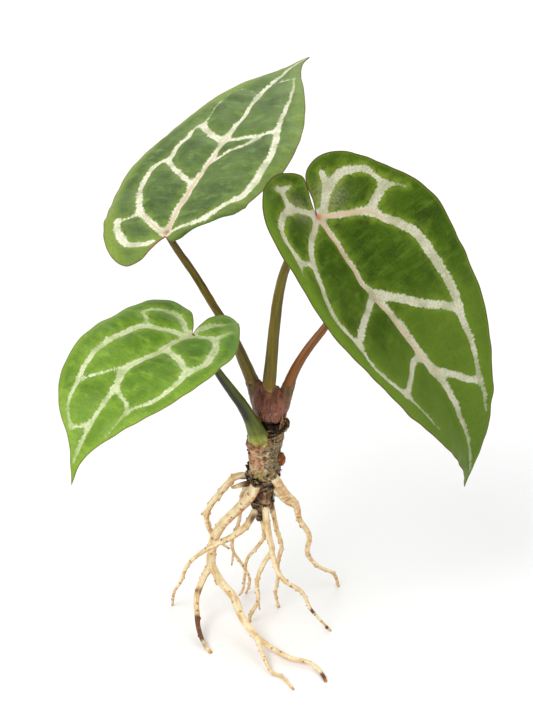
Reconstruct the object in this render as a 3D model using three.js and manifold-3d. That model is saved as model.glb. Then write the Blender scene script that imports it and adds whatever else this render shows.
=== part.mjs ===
// A bare-root anthurium with three heart-shaped leaves, standing on its own root tips.
// Units are millimetres, +Z is up, and the surface that it stands on is z = 0.
// Points are given from the foot of the stem's axis. The finished plant is then moved so that
// the middle of its box stands at x = 0, y = 0.
import * as THREE from "three";
import { mergeVertices } from "three/addons/utils/BufferGeometryUtils.js";
import Module from "manifold-3d";

const wasm = await Module();
wasm.setup();

const BLADE_THICKNESS = 0.8;
const MIDRIB_RIDGE = 0.7;
const RIDGE_TAPER = 0.8;
const MARGIN_WAVE = 0.5;
const CLEARANCE = 0.3;

// Rows of points in half a blade. They crowd together at the junction, and less so on the outline.
const BLADE_ROWS = 28;
const RIB_CROWDING = { even: 0.25, power: 2.2 };
const EDGE_CROWDING = { even: 0.75, power: 2 };
// The first rows bend round the notch: how far sideways, and over which shares they straighten.
const NOTCH_BEND = 0.55;
const STRAIGHTENING = [0.12, 0.6];
const ROW_SAMPLES = 60;
const ROLL_SHARE = 0.85;
const BLADE_COLUMNS = [0, 0.06, 0.22, 0.48, 0.76, 1];
const TUCKED_COLUMNS = [0, 0.06, 0.22, 0.38, 0.52, 0.65, 0.76, 0.85, 0.93, 1];
// In a row that is rolled under, the columns between the rib and the roll, and those round the roll.
const FLAT_COLUMNS = [0.4, 0.72, 1];
const ROLL_COLUMNS = [0.25, 0.5, 0.75, 1];
const STALK_SIDES = 10;
const ROOT_SIDES = 8;
const STEM_SIDES = 20;
const MOST_RINGS = 60;
const TUBE_PITCH = 3;
const END_BULGE = 0.3;
const MIDRIB_STEPS = 24;
const GROUND = { width: 400, depth: 20 };
const HEADROOM = 60;

const COLOURS = {
  darkBlade: 0x46701f,
  greyBlade: 0x5f8350,
  paleBlade: 0x7ba03f,
  oliveStalk: 0x6f5f28,
  redStalk: 0x7d4b33,
  greenStalk: 0x5c6632,
  sheath: 0x824b3e,
  collar: 0x2c2019,
  stem: 0xa08766,
  bud: 0x9a5a28,
  root: 0xdcc092,
};

// Each blade's outline is two lists of (along, across) points, from the notch behind the leaf's
// junction, round the lobe, to the tip. "plus" is the half on the positive side of the midrib.
// fold is the half's angle to the blade's plane at the base and at the tip, and curl is how far it
// bends back over halfWidth, all in degrees. droop is the midrib's pitch per length and its growth.
const LEAVES = [
  {
    name: "leaf_right",
    colour: COLOURS.darkBlade,
    junction: [17.2, -12, 163],
    tip: [66.6, -22.5, 69.5],
    face: [0.63, -0.58, 0.51],
    length: 112.8,
    droop: [-5, 68],
    swerve: 17.6,
    halfWidth: 42,
    fold: { plus: [27, 24.7], minus: [24, 21.8] },
    curl: 9.9,
    waves: 5,
    plus: [
      [-0.8, 0], [-5.5, 2.4], [-10.7, 4.4], [-14.5, 6.6], [-16.5, 11.5], [-14.5, 18.3],
      [-8.5, 24.2], [-0.3, 30], [9.5, 34.7], [21.8, 36.1], [35, 34], [50, 30],
      [63.3, 25.2], [77, 18.6], [90.5, 11.6], [102, 4.9], [112.8, 0],
    ],
    minus: [
      [-0.8, 0], [-5.5, 1], [-10, 2.2], [-14.5, 2.2], [-17.6, -0.8], [-18, -7],
      [-15, -19.3], [-7.9, -27.3], [1, -31.3], [15.3, -34], [30, -35.1], [43, -33.4],
      [57.4, -28.4], [69, -22.2], [82.4, -14.5], [93.8, -8.3], [106, -3.2], [112.8, 0],
    ],
  },
  {
    name: "leaf_top",
    colour: COLOURS.greyBlade,
    junction: [-31.2, -4, 154],
    tip: [15.7, 75.3, 184],
    face: [-0.56, -0.54, 0.63],
    length: 97.6,
    droop: [3.6, 20],
    swerve: -4.4,
    halfWidth: 28,
    fold: { plus: [19.4, 5.3], minus: [20.5, 5.6] },
    curl: 28.8,
    waves: 4,
    tuck: { half: "minus", from: [-2.7, -3.6], along: [0.487, -0.873], radius: 1.8, angle: 172 },
    plus: [
      [-2, 0], [-4, 1], [-8.2, 2.4], [-13, 3.8], [-16.2, 7], [-14.8, 12.2],
      [-9.8, 18.3], [-1.5, 24.2], [11.9, 30], [24, 32.3], [35.6, 31.2], [47.5, 28.5],
      [57, 23.9], [67.7, 18.2], [77, 11.2], [85, 4.2], [91.5, 1.6], [97.6, 0],
    ],
    minus: [
      [-2, 0], [-4, -3], [-6.8, -5.2], [-11, -7.8], [-12.8, -12.5], [-10.5, -18.5],
      [-5, -22.5], [3.5, -26.3], [14.2, -29.8], [27, -33], [38.5, -31.9], [51.8, -27.3],
      [62.4, -22], [72, -15.5], [80, -9], [87.6, -3.9], [92.6, -1.7], [97.6, 0],
    ],
  },
  {
    name: "leaf_left",
    colour: COLOURS.paleBlade,
    junction: [-23.5, -18, 123.7],
    tip: [-60.4, -59.8, 92.6],
    face: [-0.06, -0.13, 0.99],
    length: 69.8,
    droop: [17.4, 63.4],
    swerve: 15.8,
    halfWidth: 27,
    fold: { plus: [11.3, 8.4], minus: [13.8, 10.2] },
    curl: 16.1,
    waves: 4,
    plus: [
      [-1, -0.5], [-5.5, -1.9], [-11.5, -4.2], [-16.5, -4.8], [-20.3, -3.2], [-20.5, 0.5],
      [-16, 6.3], [-9.5, 13.8], [-2, 19.8], [6, 23.5], [15.5, 25.1], [25.3, 23.8],
      [35.4, 21], [43, 16.4], [50, 11], [56.5, 5.2], [62.2, 1.9], [69.8, 0],
    ],
    minus: [
      [-1, -0.5], [-4.9, -4.6], [-8.2, -10], [-8.5, -14.5], [-6.5, -19.5], [-1.7, -23],
      [6.2, -24.5], [15, -24.6], [24, -23.7], [34, -21.4], [41.4, -17.8], [50.2, -10.7],
      [56.5, -4.6], [62, -2], [69.8, 0],
    ],
  },
];

// A stalk, root or stem is a list of [x, y, z, radius] points that its smooth centre line passes.
const STALKS = [
  {
    name: "stalk_top",
    colour: COLOURS.oliveStalk,
    carries: "leaf_top",
    route: [
      [-1.9, 2.6, 87.6, 2.0], [-3.4, 2.3, 94.2, 2.2], [-6.9, 1.5, 104.4, 2.0],
      [-11.1, 0.5, 115.1, 1.65], [-15.8, -0.5, 124.2, 1.42], [-22.6, -2.5, 138.1, 1.35],
      [-28.5, -3.6, 148.3, 1.25], [-31.2, -4, 154.6, 1.15],
    ],
  },
  {
    name: "stalk_right",
    colour: COLOURS.oliveStalk,
    carries: "leaf_right",
    route: [
      [1.3, -1, 87.6, 2.35], [1.5, -1, 94, 2.35], [2.3, 0, 103.5, 2.2],
      [3.3, 1.5, 115.7, 2], [5.1, 2.5, 130, 1.75], [7.2, 1.5, 138.9, 1.55],
      [11.7, -4, 151.3, 1.4], [17.6, -12.2, 163.6, 1.3],
    ],
  },
  {
    name: "stalk_young",
    colour: COLOURS.redStalk,
    carries: null,
    route: [
      [6.1, 0, 87.4, 1.8], [7.7, 0.5, 93.5, 2.0], [10.3, 1.5, 100.6, 1.75],
      [14.4, 3, 107.4, 1.5], [19.6, 5.5, 113.6, 1.4], [23.2, 8, 117.6, 1.3],
      [26, 10, 122, 1.2],
    ],
  },
  {
    name: "stalk_left",
    colour: COLOURS.greenStalk,
    carries: "leaf_left",
    route: [
      [-1.6, -2.6, 72.6, 2.9], [-1.7, -3.2, 75.6, 3.7], [-2.5, -4.2, 80.2, 3.05],
      [-4.4, -6, 86.4, 2.1], [-7, -7.6, 92.1, 1.8], [-11.9, -10, 99.3, 1.6],
      [-14.9, -12.5, 107, 1.4], [-19.2, -15.5, 115.7, 1.25], [-23.6, -18.1, 124.4, 1.15],
    ],
  },
];

const YOUNG_BLADE = {
  name: "leaf_young",
  colour: COLOURS.redStalk,
  route: [
    [26.3, 10.2, 122.6, 1.0], [27.8, 11.4, 125, 1.4], [29.8, 13, 127.8, 1.75],
    [32.7, 15, 132.8, 1.85], [36, 17, 138.5, 1.3], [39, 19, 144.1, 0.35],
  ],
};

const STEM = {
  name: "stem",
  colour: COLOURS.stem,
  ringSpacing: 3.1,
  ringTilt: 0.6,
  ringDepth: 0.05,
  lumpDepth: 0.035,
  crackDepth: 0.02,
  route: [
    [-2, 0, 41.2, 0.7], [-1.8, 0, 43, 1.9], [-1.3, 0, 47, 3], [-0.9, 0, 51, 3.7],
    [-0.6, 0, 55, 4], [-0.3, 0, 58.5, 4.5], [-0.1, 0, 61.5, 5.3], [0, 0, 64, 5.4], [0.2, 0, 68, 5.3],
    [0.5, 0, 72.5, 5.4], [1.2, 0.2, 76, 5.1], [1.9, 0.3, 77.9, 4.4],
  ],
};

const COLLAR = {
  name: "collar",
  colour: COLOURS.collar,
  tearDepth: 0.07,
  frayDepth: 0.03,
  route: [
    [3.1, 0.4, 78.3, 3.5], [3.2, 0.4, 79.1, 4.1], [3.3, 0.4, 80.4, 4.2], [3.3, 0.4, 81.6, 3.8],
  ],
};

const SHEATH = {
  name: "sheath",
  colour: COLOURS.sheath,
  flatten: 0.8,
  foldDepth: 0.05,
  route: [
    [2.4, 0, 82, 4], [2, 0, 84.5, 4.9], [1.8, 0, 88, 5.8],
    [1.9, 0, 91.5, 6.3], [2.1, 0, 94, 5.8], [2.2, 0, 95.6, 3.4],
  ],
};

// A knob or bud is a small ball, squashed to its three half sizes and seated in the stem's side.
const KNOB = { name: "collar_knob", colour: COLOURS.collar, at: [7.1, 0.2, 80.6], half: [1.5, 1.8, 2.6] };
const BUD = { name: "root_bud", colour: COLOURS.bud, at: [5.6, -1.4, 67.8], half: [1.7, 1.9, 2.4] };

const ROOTS = [
  {
    name: "root_left",
    branches: [
      [
        [-4.6, 0, 60.6, 1.45], [-6, 0.5, 60.1, 1.3], [-10, 3, 58, 1.25], [-14.4, 6, 50.9, 1.2],
        [-18.9, 8.5, 42.9, 1.1], [-20.2, 10, 37.5, 1.02], [-19.3, 12, 31.2, 0.95],
        [-17.1, 14, 25.8, 0.7], [-12.2, 16, 20.3, 0.4],
      ],
      [[-14.4, 6, 50.4, 0.6], [-15.9, 5, 46.8, 0.35]],
      [[-18.7, 8.5, 43, 0.6], [-22.2, 10, 38.3, 0.35]],
    ],
  },
  {
    name: "root_fork",
    branches: [
      [
        [-2.4, -4.6, 60.8, 1.8], [-4, -4, 56, 1.9], [-6.4, -1.5, 50.8, 1.85],
        [-12.1, 3, 41.7, 1.75], [-15.4, 5.5, 36.1, 1.75], [-17.6, 6.5, 30.2, 1.72],
        [-18.7, 7, 23.4, 1.7], [-18.7, 5.6, 18.4, 1.6],
      ],
      [
        [-18.8, 6, 20.5, 1.3], [-22.3, 4, 13.6, 1.17], [-23.8, 1, 9.7, 1.05],
        [-23.5, -5, 5.5, 0.95], [-23, -9, 3.6, 0.85], [-21.1, -15, 1.5, 0.75],
        [-18.3, -19.6, 0.15, 0.7],
      ],
      [
        [-18.7, 6, 20.5, 1.5], [-15.2, 3, 14.9, 1.5], [-10.6, -2, 11.7, 1.45],
        [-7.8, -8, 7.5, 1.36], [-3.2, -15.5, 5.1, 1.25], [-1.6, -17.8, 4.3, 1.15],
      ],
      [
        [-2.5, -16.4, 4.9, 0.95], [-0.4, -24, 2.7, 0.7], [2.7, -31.5, 1, 0.6],
        [6.1, -34, 0.75, 0.55], [10.2, -41, 0.1, 0.5],
      ],
      [
        [-2.5, -16.4, 4.9, 1.05], [3.1, -21, 3.1, 0.93], [8.8, -24.5, 1.9, 0.86],
        [15.7, -27.3, 1.7, 0.76], [19.8, -32.5, 0.8, 0.65], [21.2, -36.6, 0.15, 0.6],
      ],
    ],
  },
  {
    name: "root_front",
    branches: [
      [
        [-2.8, -2.8, 48.6, 1.3], [-3.8, -4, 47, 1.25], [-6.9, -4.5, 42, 1.2],
        [-12, -4, 37.6, 1.1], [-17.4, -2.5, 33.8, 0.97], [-23.4, 0, 27.9, 0.8],
        [-27.1, 2.5, 21.9, 0.7], [-29.6, 5.5, 13.2, 0.6], [-31.8, 7.5, 8.1, 0.52],
        [-33, 10.7, -0.3, 0.45],
      ],
    ],
  },
  {
    name: "root_stub",
    branches: [[[-3.6, 0.4, 57.6, 1.05], [-8.7, -1, 56.9, 0.85], [-11.4, -1.5, 56.3, 0.45]]],
  },
  {
    name: "root_back",
    branches: [
      [
        [-3.6, 3.4, 55.4, 0.75], [-7.3, 6, 50.1, 0.65], [-8.8, 8.5, 36.7, 0.63],
        [-11.2, 11, 27.3, 0.6], [-10.9, 12.5, 21.3, 0.57], [-8.7, 13.5, 16.9, 0.53],
        [-6, 15, 10.8, 0.5], [-5.2, 16.5, 6, 0.47], [-6.6, 18.4, -0.3, 0.42],
      ],
      [[-11, 12.5, 21.3, 0.4], [-11.6, 13.6, 14.8, 0.3]],
    ],
  },
  {
    name: "root_middle",
    branches: [
      [
        [0.8, -2.6, 51, 1.3], [0.6, -4, 47, 1.25], [1.6, -4.6, 39.8, 1.1],
        [2.7, -5, 34.2, 1.04], [2.6, -5, 31.4, 0.95],
      ],
      [
        [2.7, -5, 33, 0.9], [4.5, -5.5, 25.2, 0.9], [7.2, -5.5, 20.9, 0.84],
        [13.1, -5, 16, 0.7], [16.3, -5, 8.9, 0.6], [19.6, -5.5, 4.7, 0.5],
        [23.7, -5.6, -0.3, 0.42],
      ],
      [
        [2.7, -5, 33, 0.88], [-0.4, -4.5, 26.9, 0.83], [-2.5, -4, 19.9, 0.77],
        [-2.2, -2.5, 11, 0.7], [-5, -0.8, 2.9, 0.64], [-5.2, 0, -0.3, 0.6],
      ],
      [[-2.2, -2.8, 12.9, 0.4], [-1.5, -0.5, 5.4, 0.3]],
    ],
  },
  {
    name: "root_slender",
    branches: [
      [
        [2.3, 1.6, 49.6, 0.95], [3.3, 2, 43.4, 0.9], [4.5, 2.5, 36.4, 0.84],
        [6.1, 3, 29.9, 0.77], [4.8, 4, 22.2, 0.7], [4.8, 5.5, 14.1, 0.64],
        [4, 7.5, 6.8, 0.58], [5.3, 9.4, -0.3, 0.54],
      ],
    ],
  },
  {
    name: "root_wisp",
    branches: [
      [
        [-1.1, 1.2, 44.4, 0.78], [-0.3, 2, 37.9, 0.7], [0, 3.5, 33.3, 0.66],
        [-2.2, 5.5, 28.3, 0.63], [-5.9, 8, 21.4, 0.58], [-6.9, 10.5, 13.1, 0.52],
        [-7.6, 13, 5.3, 0.46], [-9.1, 14.5, 1.3, 0.4],
      ],
    ],
  },
  {
    name: "root_right",
    branches: [
      [
        [2.2, -4.2, 63.6, 1.5], [3.5, -3.8, 61.6, 1.65], [7, 0.5, 53.2, 1.55],
        [10.9, 4.2, 46.3, 1.3], [12.3, 7.5, 38.2, 1.02], [15.8, 10, 30, 0.95],
        [15.4, 12.5, 20.9, 0.85], [19.1, 15.5, 13.5, 0.75], [25, 19.5, 7.5, 0.62],
        [27, 23, -0.3, 0.54],
      ],
      [[2.3, -1.2, 56.6, 0.95], [3.6, -1, 55, 0.9], [7.6, 2, 48.7, 0.86], [10.7, 5, 45, 0.8]],
    ],
  },
];

const radians = THREE.MathUtils.degToRad;

// A closed geometry as a manifold solid, and back.
function solidOf(geometry) {
  const bare = new THREE.BufferGeometry();
  bare.setAttribute("position", geometry.getAttribute("position"));
  if (geometry.index) {
    bare.setIndex(geometry.index);
  }
  const merged = mergeVertices(bare, 1e-4);
  const source = merged.index.array;
  const triVerts = [];
  for (let i = 0; i < source.length; i += 3) {
    const [a, b, c] = [source[i], source[i + 1], source[i + 2]];
    if (a !== b && b !== c && c !== a) {
      triVerts.push(a, b, c);
    }
  }
  return new wasm.Manifold(
    new wasm.Mesh({
      numProp: 3,
      vertProperties: merged.getAttribute("position").array,
      triVerts: new Uint32Array(triVerts),
    }),
  );
}

function geometryOf(solid) {
  const mesh = solid.getMesh();
  const geometry = new THREE.BufferGeometry();
  geometry.setAttribute("position", new THREE.BufferAttribute(mesh.vertProperties, 3));
  geometry.setIndex(new THREE.BufferAttribute(mesh.triVerts, 1));
  geometry.computeVertexNormals();
  return geometry;
}

function largestBody(solid) {
  return solid.decompose().reduce((a, b) => (a.volume() > b.volume() ? a : b));
}

// The smooth line through a list of points, at an evenly spaced fraction of its length.
function smoothLine(points) {
  const at = points.map((p) => new THREE.Vector3(p[0], p[1], p[2] ?? 0));
  return new THREE.CatmullRomCurve3(at, false, "centripetal");
}

// The midrib in the leaf's own frame: its place, forward, side and normal at a distance along it.
function midribAt(leaf, along) {
  const end = along / leaf.length;
  const place = new THREE.Vector3();
  const forward = new THREE.Vector3();
  let turn = 0;
  for (let i = 0; i <= MIDRIB_STEPS; i += 1) {
    const share = (end * i) / MIDRIB_STEPS;
    const pitch = radians(leaf.droop[0] * share + leaf.droop[1] * share * Math.abs(share));
    turn = radians(leaf.swerve * share);
    forward.set(Math.cos(pitch) * Math.cos(turn), Math.cos(pitch) * Math.sin(turn), -Math.sin(pitch));
    const weight = i === 0 || i === MIDRIB_STEPS ? 0.5 : 1;
    place.addScaledVector(forward, (weight * along) / MIDRIB_STEPS);
  }
  const side = new THREE.Vector3(-Math.sin(turn), Math.cos(turn), 0);
  const normal = new THREE.Vector3().crossVectors(forward, side);
  return { place, forward, side, normal };
}

// A point of the blade's middle surface in the leaf's own frame.
function bladePoint(leaf, along, across) {
  const rib = midribAt(leaf, along);
  const share = THREE.MathUtils.clamp(along / leaf.length, 0, 1);
  const [atBase, atTip] = across >= 0 ? leaf.fold.plus : leaf.fold.minus;
  const start = radians(THREE.MathUtils.lerp(atBase, atTip, share));
  const bend = radians(leaf.curl) / leaf.halfWidth;
  const finish = start - bend * Math.abs(across);
  const out = (Math.sin(start) - Math.sin(finish)) / bend;
  const up = (Math.cos(finish) - Math.cos(start)) / bend;
  return rib.place.addScaledVector(rib.side, Math.sign(across) * out).addScaledVector(rib.normal, up);
}

// How far a point of the blade lies past the line that its lobe is rolled under at.
function pastTuck(tuck, along, across) {
  const [lineX, lineY] = tuck.along;
  return (along - tuck.from[0]) * lineY - (across - tuck.from[1]) * lineX;
}

// A blade's middle surface and its upward direction. The lobe past a leaf's tuck line is rolled
// under the blade, round a small radius.
function surfaceAt(leaf, half, along, across) {
  const tuck = leaf.tuck;
  const rib = midribAt(leaf, along);
  if (tuck?.half !== half || pastTuck(tuck, along, across) <= 0) {
    return { point: bladePoint(leaf, along, across), upward: rib.normal };
  }
  const [lineX, lineY] = tuck.along;
  const past = pastTuck(tuck, along, across);
  const rolled = Math.min(past / tuck.radius, radians(tuck.angle));
  const rest = past - rolled * tuck.radius;
  const forward = tuck.radius * Math.sin(rolled) + rest * Math.cos(rolled);
  const under = tuck.radius * (1 - Math.cos(rolled)) + rest * Math.sin(rolled);
  const back = forward - past;
  const point = bladePoint(leaf, along + back * lineY, across - back * lineX);
  point.addScaledVector(rib.normal, -under);
  const upward = rib.normal.clone().multiplyScalar(Math.cos(rolled));
  upward.addScaledVector(rib.forward, lineY * Math.sin(rolled));
  upward.addScaledVector(rib.side, -lineX * Math.sin(rolled));
  return { point, upward };
}

// The matrix that carries the leaf's own frame to its junction, tip and facing on the plant.
function leafPlacement(leaf) {
  const tipHere = bladePoint(leaf, leaf.length, 0);
  const junction = new THREE.Vector3(...leaf.junction);
  const chord = new THREE.Vector3(...leaf.tip).sub(junction);
  const basis = (line, facing) => {
    const x = line.clone().normalize();
    const z = facing.clone().addScaledVector(x, -facing.dot(x)).normalize();
    return new THREE.Matrix4().makeBasis(x, new THREE.Vector3().crossVectors(z, x), z);
  };
  const size = chord.length() / tipHere.length();
  const placement = basis(chord, new THREE.Vector3(...leaf.face));
  placement.multiply(basis(tipHere, new THREE.Vector3(0, 0, 1)).transpose());
  placement.scale(new THREE.Vector3(size, size, size));
  return placement.setPosition(junction);
}

function crowded(share, { even, power }) {
  return even * share + (1 - even) * share ** power;
}

// A row of a half blade as a curve of (along, across), from the midrib to the edge.
function rowCurve(leaf, half, outline, share) {
  const rib = new THREE.Vector2(leaf.length * crowded(share, RIB_CROWDING), 0);
  const edge = outline.getPointAt(crowded(share, EDGE_CROWDING));
  const middle = new THREE.Vector2((rib.x + edge.x) / 2, edge.y / 2);
  const side = half === "plus" ? 1 : -1;
  const bent = new THREE.Vector2(rib.x, side * NOTCH_BEND * edge.length());
  const straight = share === 0 ? 1 : THREE.MathUtils.smoothstep(share, ...STRAIGHTENING);
  return new THREE.QuadraticBezierCurve(rib, bent.lerp(middle, straight), new THREE.Vector2(edge.x, edge.y));
}

// The shares of a row, from rib to edge, at which it has its points. In a tucked leaf they close up
// round the roll.
function rowShares(leaf, half, curve) {
  const { tuck } = leaf;
  if (!tuck) {
    return BLADE_COLUMNS;
  }
  const past = curve.getPoints(ROW_SAMPLES).map((at) => pastTuck(tuck, at.x, at.y));
  if (tuck.half !== half || past.at(-1) <= 0) {
    return TUCKED_COLUMNS;
  }
  const shareOf = (wanted) => {
    const next = past.findIndex((value) => value > wanted);
    return (next - (past[next] - wanted) / (past[next] - past[next - 1])) / ROW_SAMPLES;
  };
  const flat = shareOf(0);
  const roll = Math.min(tuck.radius * radians(tuck.angle), ROLL_SHARE * past.at(-1));
  const onFlat = FLAT_COLUMNS.map((part) => flat * part);
  const onRoll = ROLL_COLUMNS.map((part) => shareOf(roll * part));
  return [0, BLADE_COLUMNS[1], ...onFlat, ...onRoll, 1];
}

// One half of the blade as rows of points, from the notch round to the tip.
function halfRows(leaf, half) {
  const outline = smoothLine(leaf[half]);
  const rows = [];
  for (let i = 0; i <= BLADE_ROWS; i += 1) {
    const share = i / BLADE_ROWS;
    const curve = rowCurve(leaf, half, outline, share);
    const ripple = Math.sin(Math.PI * share) * Math.sin(Math.PI * 2 * leaf.waves * share);
    const row = rowShares(leaf, half, curve).map((out) => {
      const { x, y } = curve.getPoint(out);
      const { point, upward } = surfaceAt(leaf, half, x, y);
      point.addScaledVector(upward, MARGIN_WAVE * out * out * ripple);
      return { point, upward, share };
    });
    rows.push(row);
  }
  return rows;
}

// The blade as a closed sheet. Its underside has the midrib's ridge.
function bladeGeometry(leaf) {
  const placement = leafPlacement(leaf);
  const loops = [halfRows(leaf, "plus"), halfRows(leaf, "minus").reverse()];
  const grid = [];
  loops.forEach((rows, which) => {
    rows.forEach((row, i) => {
      const shared = which === 1 && (i === 0 || i === rows.length - 1);
      if (!shared) {
        grid.push(row);
      }
    });
  });
  const count = grid.length;
  const columns = grid[0].length;
  const top = [];
  const bottom = [];
  for (const row of grid) {
    row.forEach(({ point, upward, share }, j) => {
      const ridge = j === 0 ? MIDRIB_RIDGE * (1 - RIDGE_TAPER * share) : 0;
      const half = BLADE_THICKNESS / 2;
      top.push(point.clone().addScaledVector(upward, half).applyMatrix4(placement));
      bottom.push(point.clone().addScaledVector(upward, -half - ridge).applyMatrix4(placement));
    });
  }
  const points = [...top, ...bottom];
  const under = top.length;
  const index = [];
  const face = (a, b, c) => {
    index.push(a, c, b);
  };
  for (let i = 0; i < count; i += 1) {
    const next = (i + 1) % count;
    for (let j = 0; j + 1 < columns; j += 1) {
      const [a, b] = [i * columns + j, next * columns + j];
      face(a, a + 1, b + 1);
      face(a, b + 1, b);
      face(under + a, under + b + 1, under + a + 1);
      face(under + a, under + b, under + b + 1);
    }
    const [rimA, rimB] = [i * columns + columns - 1, next * columns + columns - 1];
    face(rimA, under + rimA, under + rimB);
    face(rimA, under + rimB, rimB);
  }
  const geometry = new THREE.BufferGeometry().setFromPoints(points);
  geometry.setIndex(index);
  return geometry;
}

// The space over a blade's underside at its junction, which its stalk stops short of.
function headroomSolid(leaf) {
  const depth = BLADE_THICKNESS / 2 + MIDRIB_RIDGE + CLEARANCE;
  const geometry = new THREE.BoxGeometry(HEADROOM, HEADROOM, HEADROOM);
  geometry.translate(0, 0, HEADROOM / 2 - depth);
  geometry.applyMatrix4(leafPlacement(leaf));
  return solidOf(geometry);
}

// A closed tapering tube along a route. swell makes it thicker and longer, for cutting its seat.
// relief(angle, height) scales its radius, and flatten squeezes it front to back.
function tubeSolid(route, sides, options = {}) {
  const { swell = 0, relief = () => 1, flatten = 1, pitch = TUBE_PITCH } = options;
  const line = smoothLine(route);
  const widest = Math.max(...route.map((point) => point[3]));
  const wanted = Math.max(2, Math.round(line.getLength() / (pitch * widest)));
  const rings = Math.min(wanted, MOST_RINGS);
  const frames = line.computeFrenetFrames(rings, false);
  const radii = smoothLine(route.map((point) => [point[3], 0, 0]));
  const points = [];
  for (let i = 0; i <= rings; i += 1) {
    const along = line.getUtoTmapping(i / rings);
    const middle = line.getPoint(along);
    const end = Number(i === rings) - Number(i === 0);
    middle.addScaledVector(frames.tangents[i], end * swell);
    const radius = radii.getPoint(along).x + swell;
    for (let k = 0; k < sides; k += 1) {
      const angle = (k / sides) * Math.PI * 2;
      const reach = radius * relief(angle, middle.z);
      const spoke = new THREE.Vector3();
      spoke.addScaledVector(frames.normals[i], Math.cos(angle) * reach);
      spoke.addScaledVector(frames.binormals[i], Math.sin(angle) * reach);
      spoke.y *= flatten;
      points.push(middle.clone().add(spoke));
    }
  }
  const first = points.length;
  points.push(line.getPoint(0).addScaledVector(frames.tangents[0], -swell));
  const bulge = swell + route.at(-1)[3] * END_BULGE;
  points.push(line.getPoint(1).addScaledVector(frames.tangents[rings], bulge));
  const index = [];
  for (let k = 0; k < sides; k += 1) {
    const next = (k + 1) % sides;
    for (let i = 0; i < rings; i += 1) {
      const [a, b] = [i * sides + k, i * sides + next];
      index.push(a, b, b + sides, a, b + sides, a + sides);
    }
    const last = rings * sides;
    index.push(first, next, k, first + 1, last + k, last + next);
  }
  const geometry = new THREE.BufferGeometry().setFromPoints(points);
  geometry.setIndex(index);
  return solidOf(geometry);
}

function ballSolid(ball, swell = 0) {
  const geometry = new THREE.SphereGeometry(1, 12, 8);
  geometry.scale(...ball.half.map((h) => h + swell));
  geometry.translate(...ball.at);
  return solidOf(geometry);
}

// Everything under the surface that the plant stands on, which cuts its root tips flat.
function groundSolid() {
  const geometry = new THREE.BoxGeometry(GROUND.width, GROUND.width, GROUND.depth);
  geometry.translate(0, 0, -GROUND.depth / 2);
  return solidOf(geometry);
}

// Old leaf scars ring the stem at a slight tilt, and its bark is uneven.
function stemRelief(angle, height) {
  const { ringSpacing, ringTilt, ringDepth, lumpDepth, crackDepth } = STEM;
  const turn = (height / ringSpacing) * Math.PI * 2 + ringTilt * Math.sin(angle);
  const ring = ringDepth * Math.max(0, Math.sin(turn)) ** 2;
  const lumps = lumpDepth * Math.sin(3 * angle + 0.7 * height);
  return 1 + ring + lumps + crackDepth * Math.sin(7 * angle - height);
}

// The three young petiole bases stand side by side in the sheath, which shows as upright folds.
function sheathRelief(angle) {
  return 1 + SHEATH.foldDepth * Math.cos(3 * angle);
}

// The collar is the torn rim of an old sheath.
function collarRelief(angle, height) {
  return 1 + COLLAR.tearDepth * Math.sin(5 * angle + height * 2) + COLLAR.frayDepth * Math.sin(11 * angle);
}

const plant = new THREE.Group();

function add(name, colour, solid, roughness = 0.6) {
  const material = new THREE.MeshStandardMaterial({ color: colour, roughness, metalness: 0 });
  const mesh = new THREE.Mesh(geometryOf(solid), material);
  mesh.name = name;
  plant.add(mesh);
}

for (const leaf of LEAVES) {
  add(leaf.name, leaf.colour, solidOf(bladeGeometry(leaf)), 0.45);
}

// What stands in the stem and the sheath is cut out of them with a clearance.
const seated = [];

for (const stalk of STALKS) {
  const whole = tubeSolid(stalk.route, STALK_SIDES);
  const leaf = LEAVES.find((candidate) => candidate.name === stalk.carries);
  add(stalk.name, stalk.colour, leaf ? whole.subtract(headroomSolid(leaf)) : whole, 0.5);
  seated.push(tubeSolid(stalk.route, STALK_SIDES, { swell: CLEARANCE }));
}
add(YOUNG_BLADE.name, YOUNG_BLADE.colour, tubeSolid(YOUNG_BLADE.route, STALK_SIDES, { pitch: 1.5 }), 0.5);

const ground = groundSolid();
for (const root of ROOTS) {
  const tubes = root.branches.map((route) => tubeSolid(route, ROOT_SIDES));
  const joined = tubes.reduce((a, b) => a.add(b));
  add(root.name, COLOURS.root, largestBody(joined.subtract(ground)), 0.75);
  const swollen = root.branches.map((route) => tubeSolid(route, ROOT_SIDES, { swell: CLEARANCE }));
  seated.push(...swollen);
}

add(KNOB.name, KNOB.colour, ballSolid(KNOB), 0.9);
add(BUD.name, BUD.colour, ballSolid(BUD), 0.7);
seated.push(ballSolid(KNOB, CLEARANCE), ballSolid(BUD, CLEARANCE));

const trunks = [
  [STEM, stemRelief, 0.2],
  [COLLAR, collarRelief, 0.15],
  [SHEATH, sheathRelief, 0.2],
];
for (const [part, relief, pitch] of trunks) {
  const options = { relief, pitch, flatten: part.flatten ?? 1 };
  let solid = tubeSolid(part.route, STEM_SIDES, options);
  for (const cutter of seated) {
    solid = solid.subtract(cutter);
  }
  add(part.name, part.colour, largestBody(solid), 0.8);
  seated.push(tubeSolid(part.route, STEM_SIDES, { ...options, swell: CLEARANCE }));
}

// The plant's box is centred over the origin, with its lowest root tips at z = 0.
const middle = new THREE.Box3().setFromObject(plant).getCenter(new THREE.Vector3());
for (const mesh of plant.children) {
  mesh.geometry.translate(-middle.x, -middle.y, 0);
}

export default plant;
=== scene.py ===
"""A bare-root anthurium plant: three veined leaves and a young one on their stalks, the sheath and
collar round their feet, the stem with its old bark, and the spreading roots."""

import math

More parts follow.
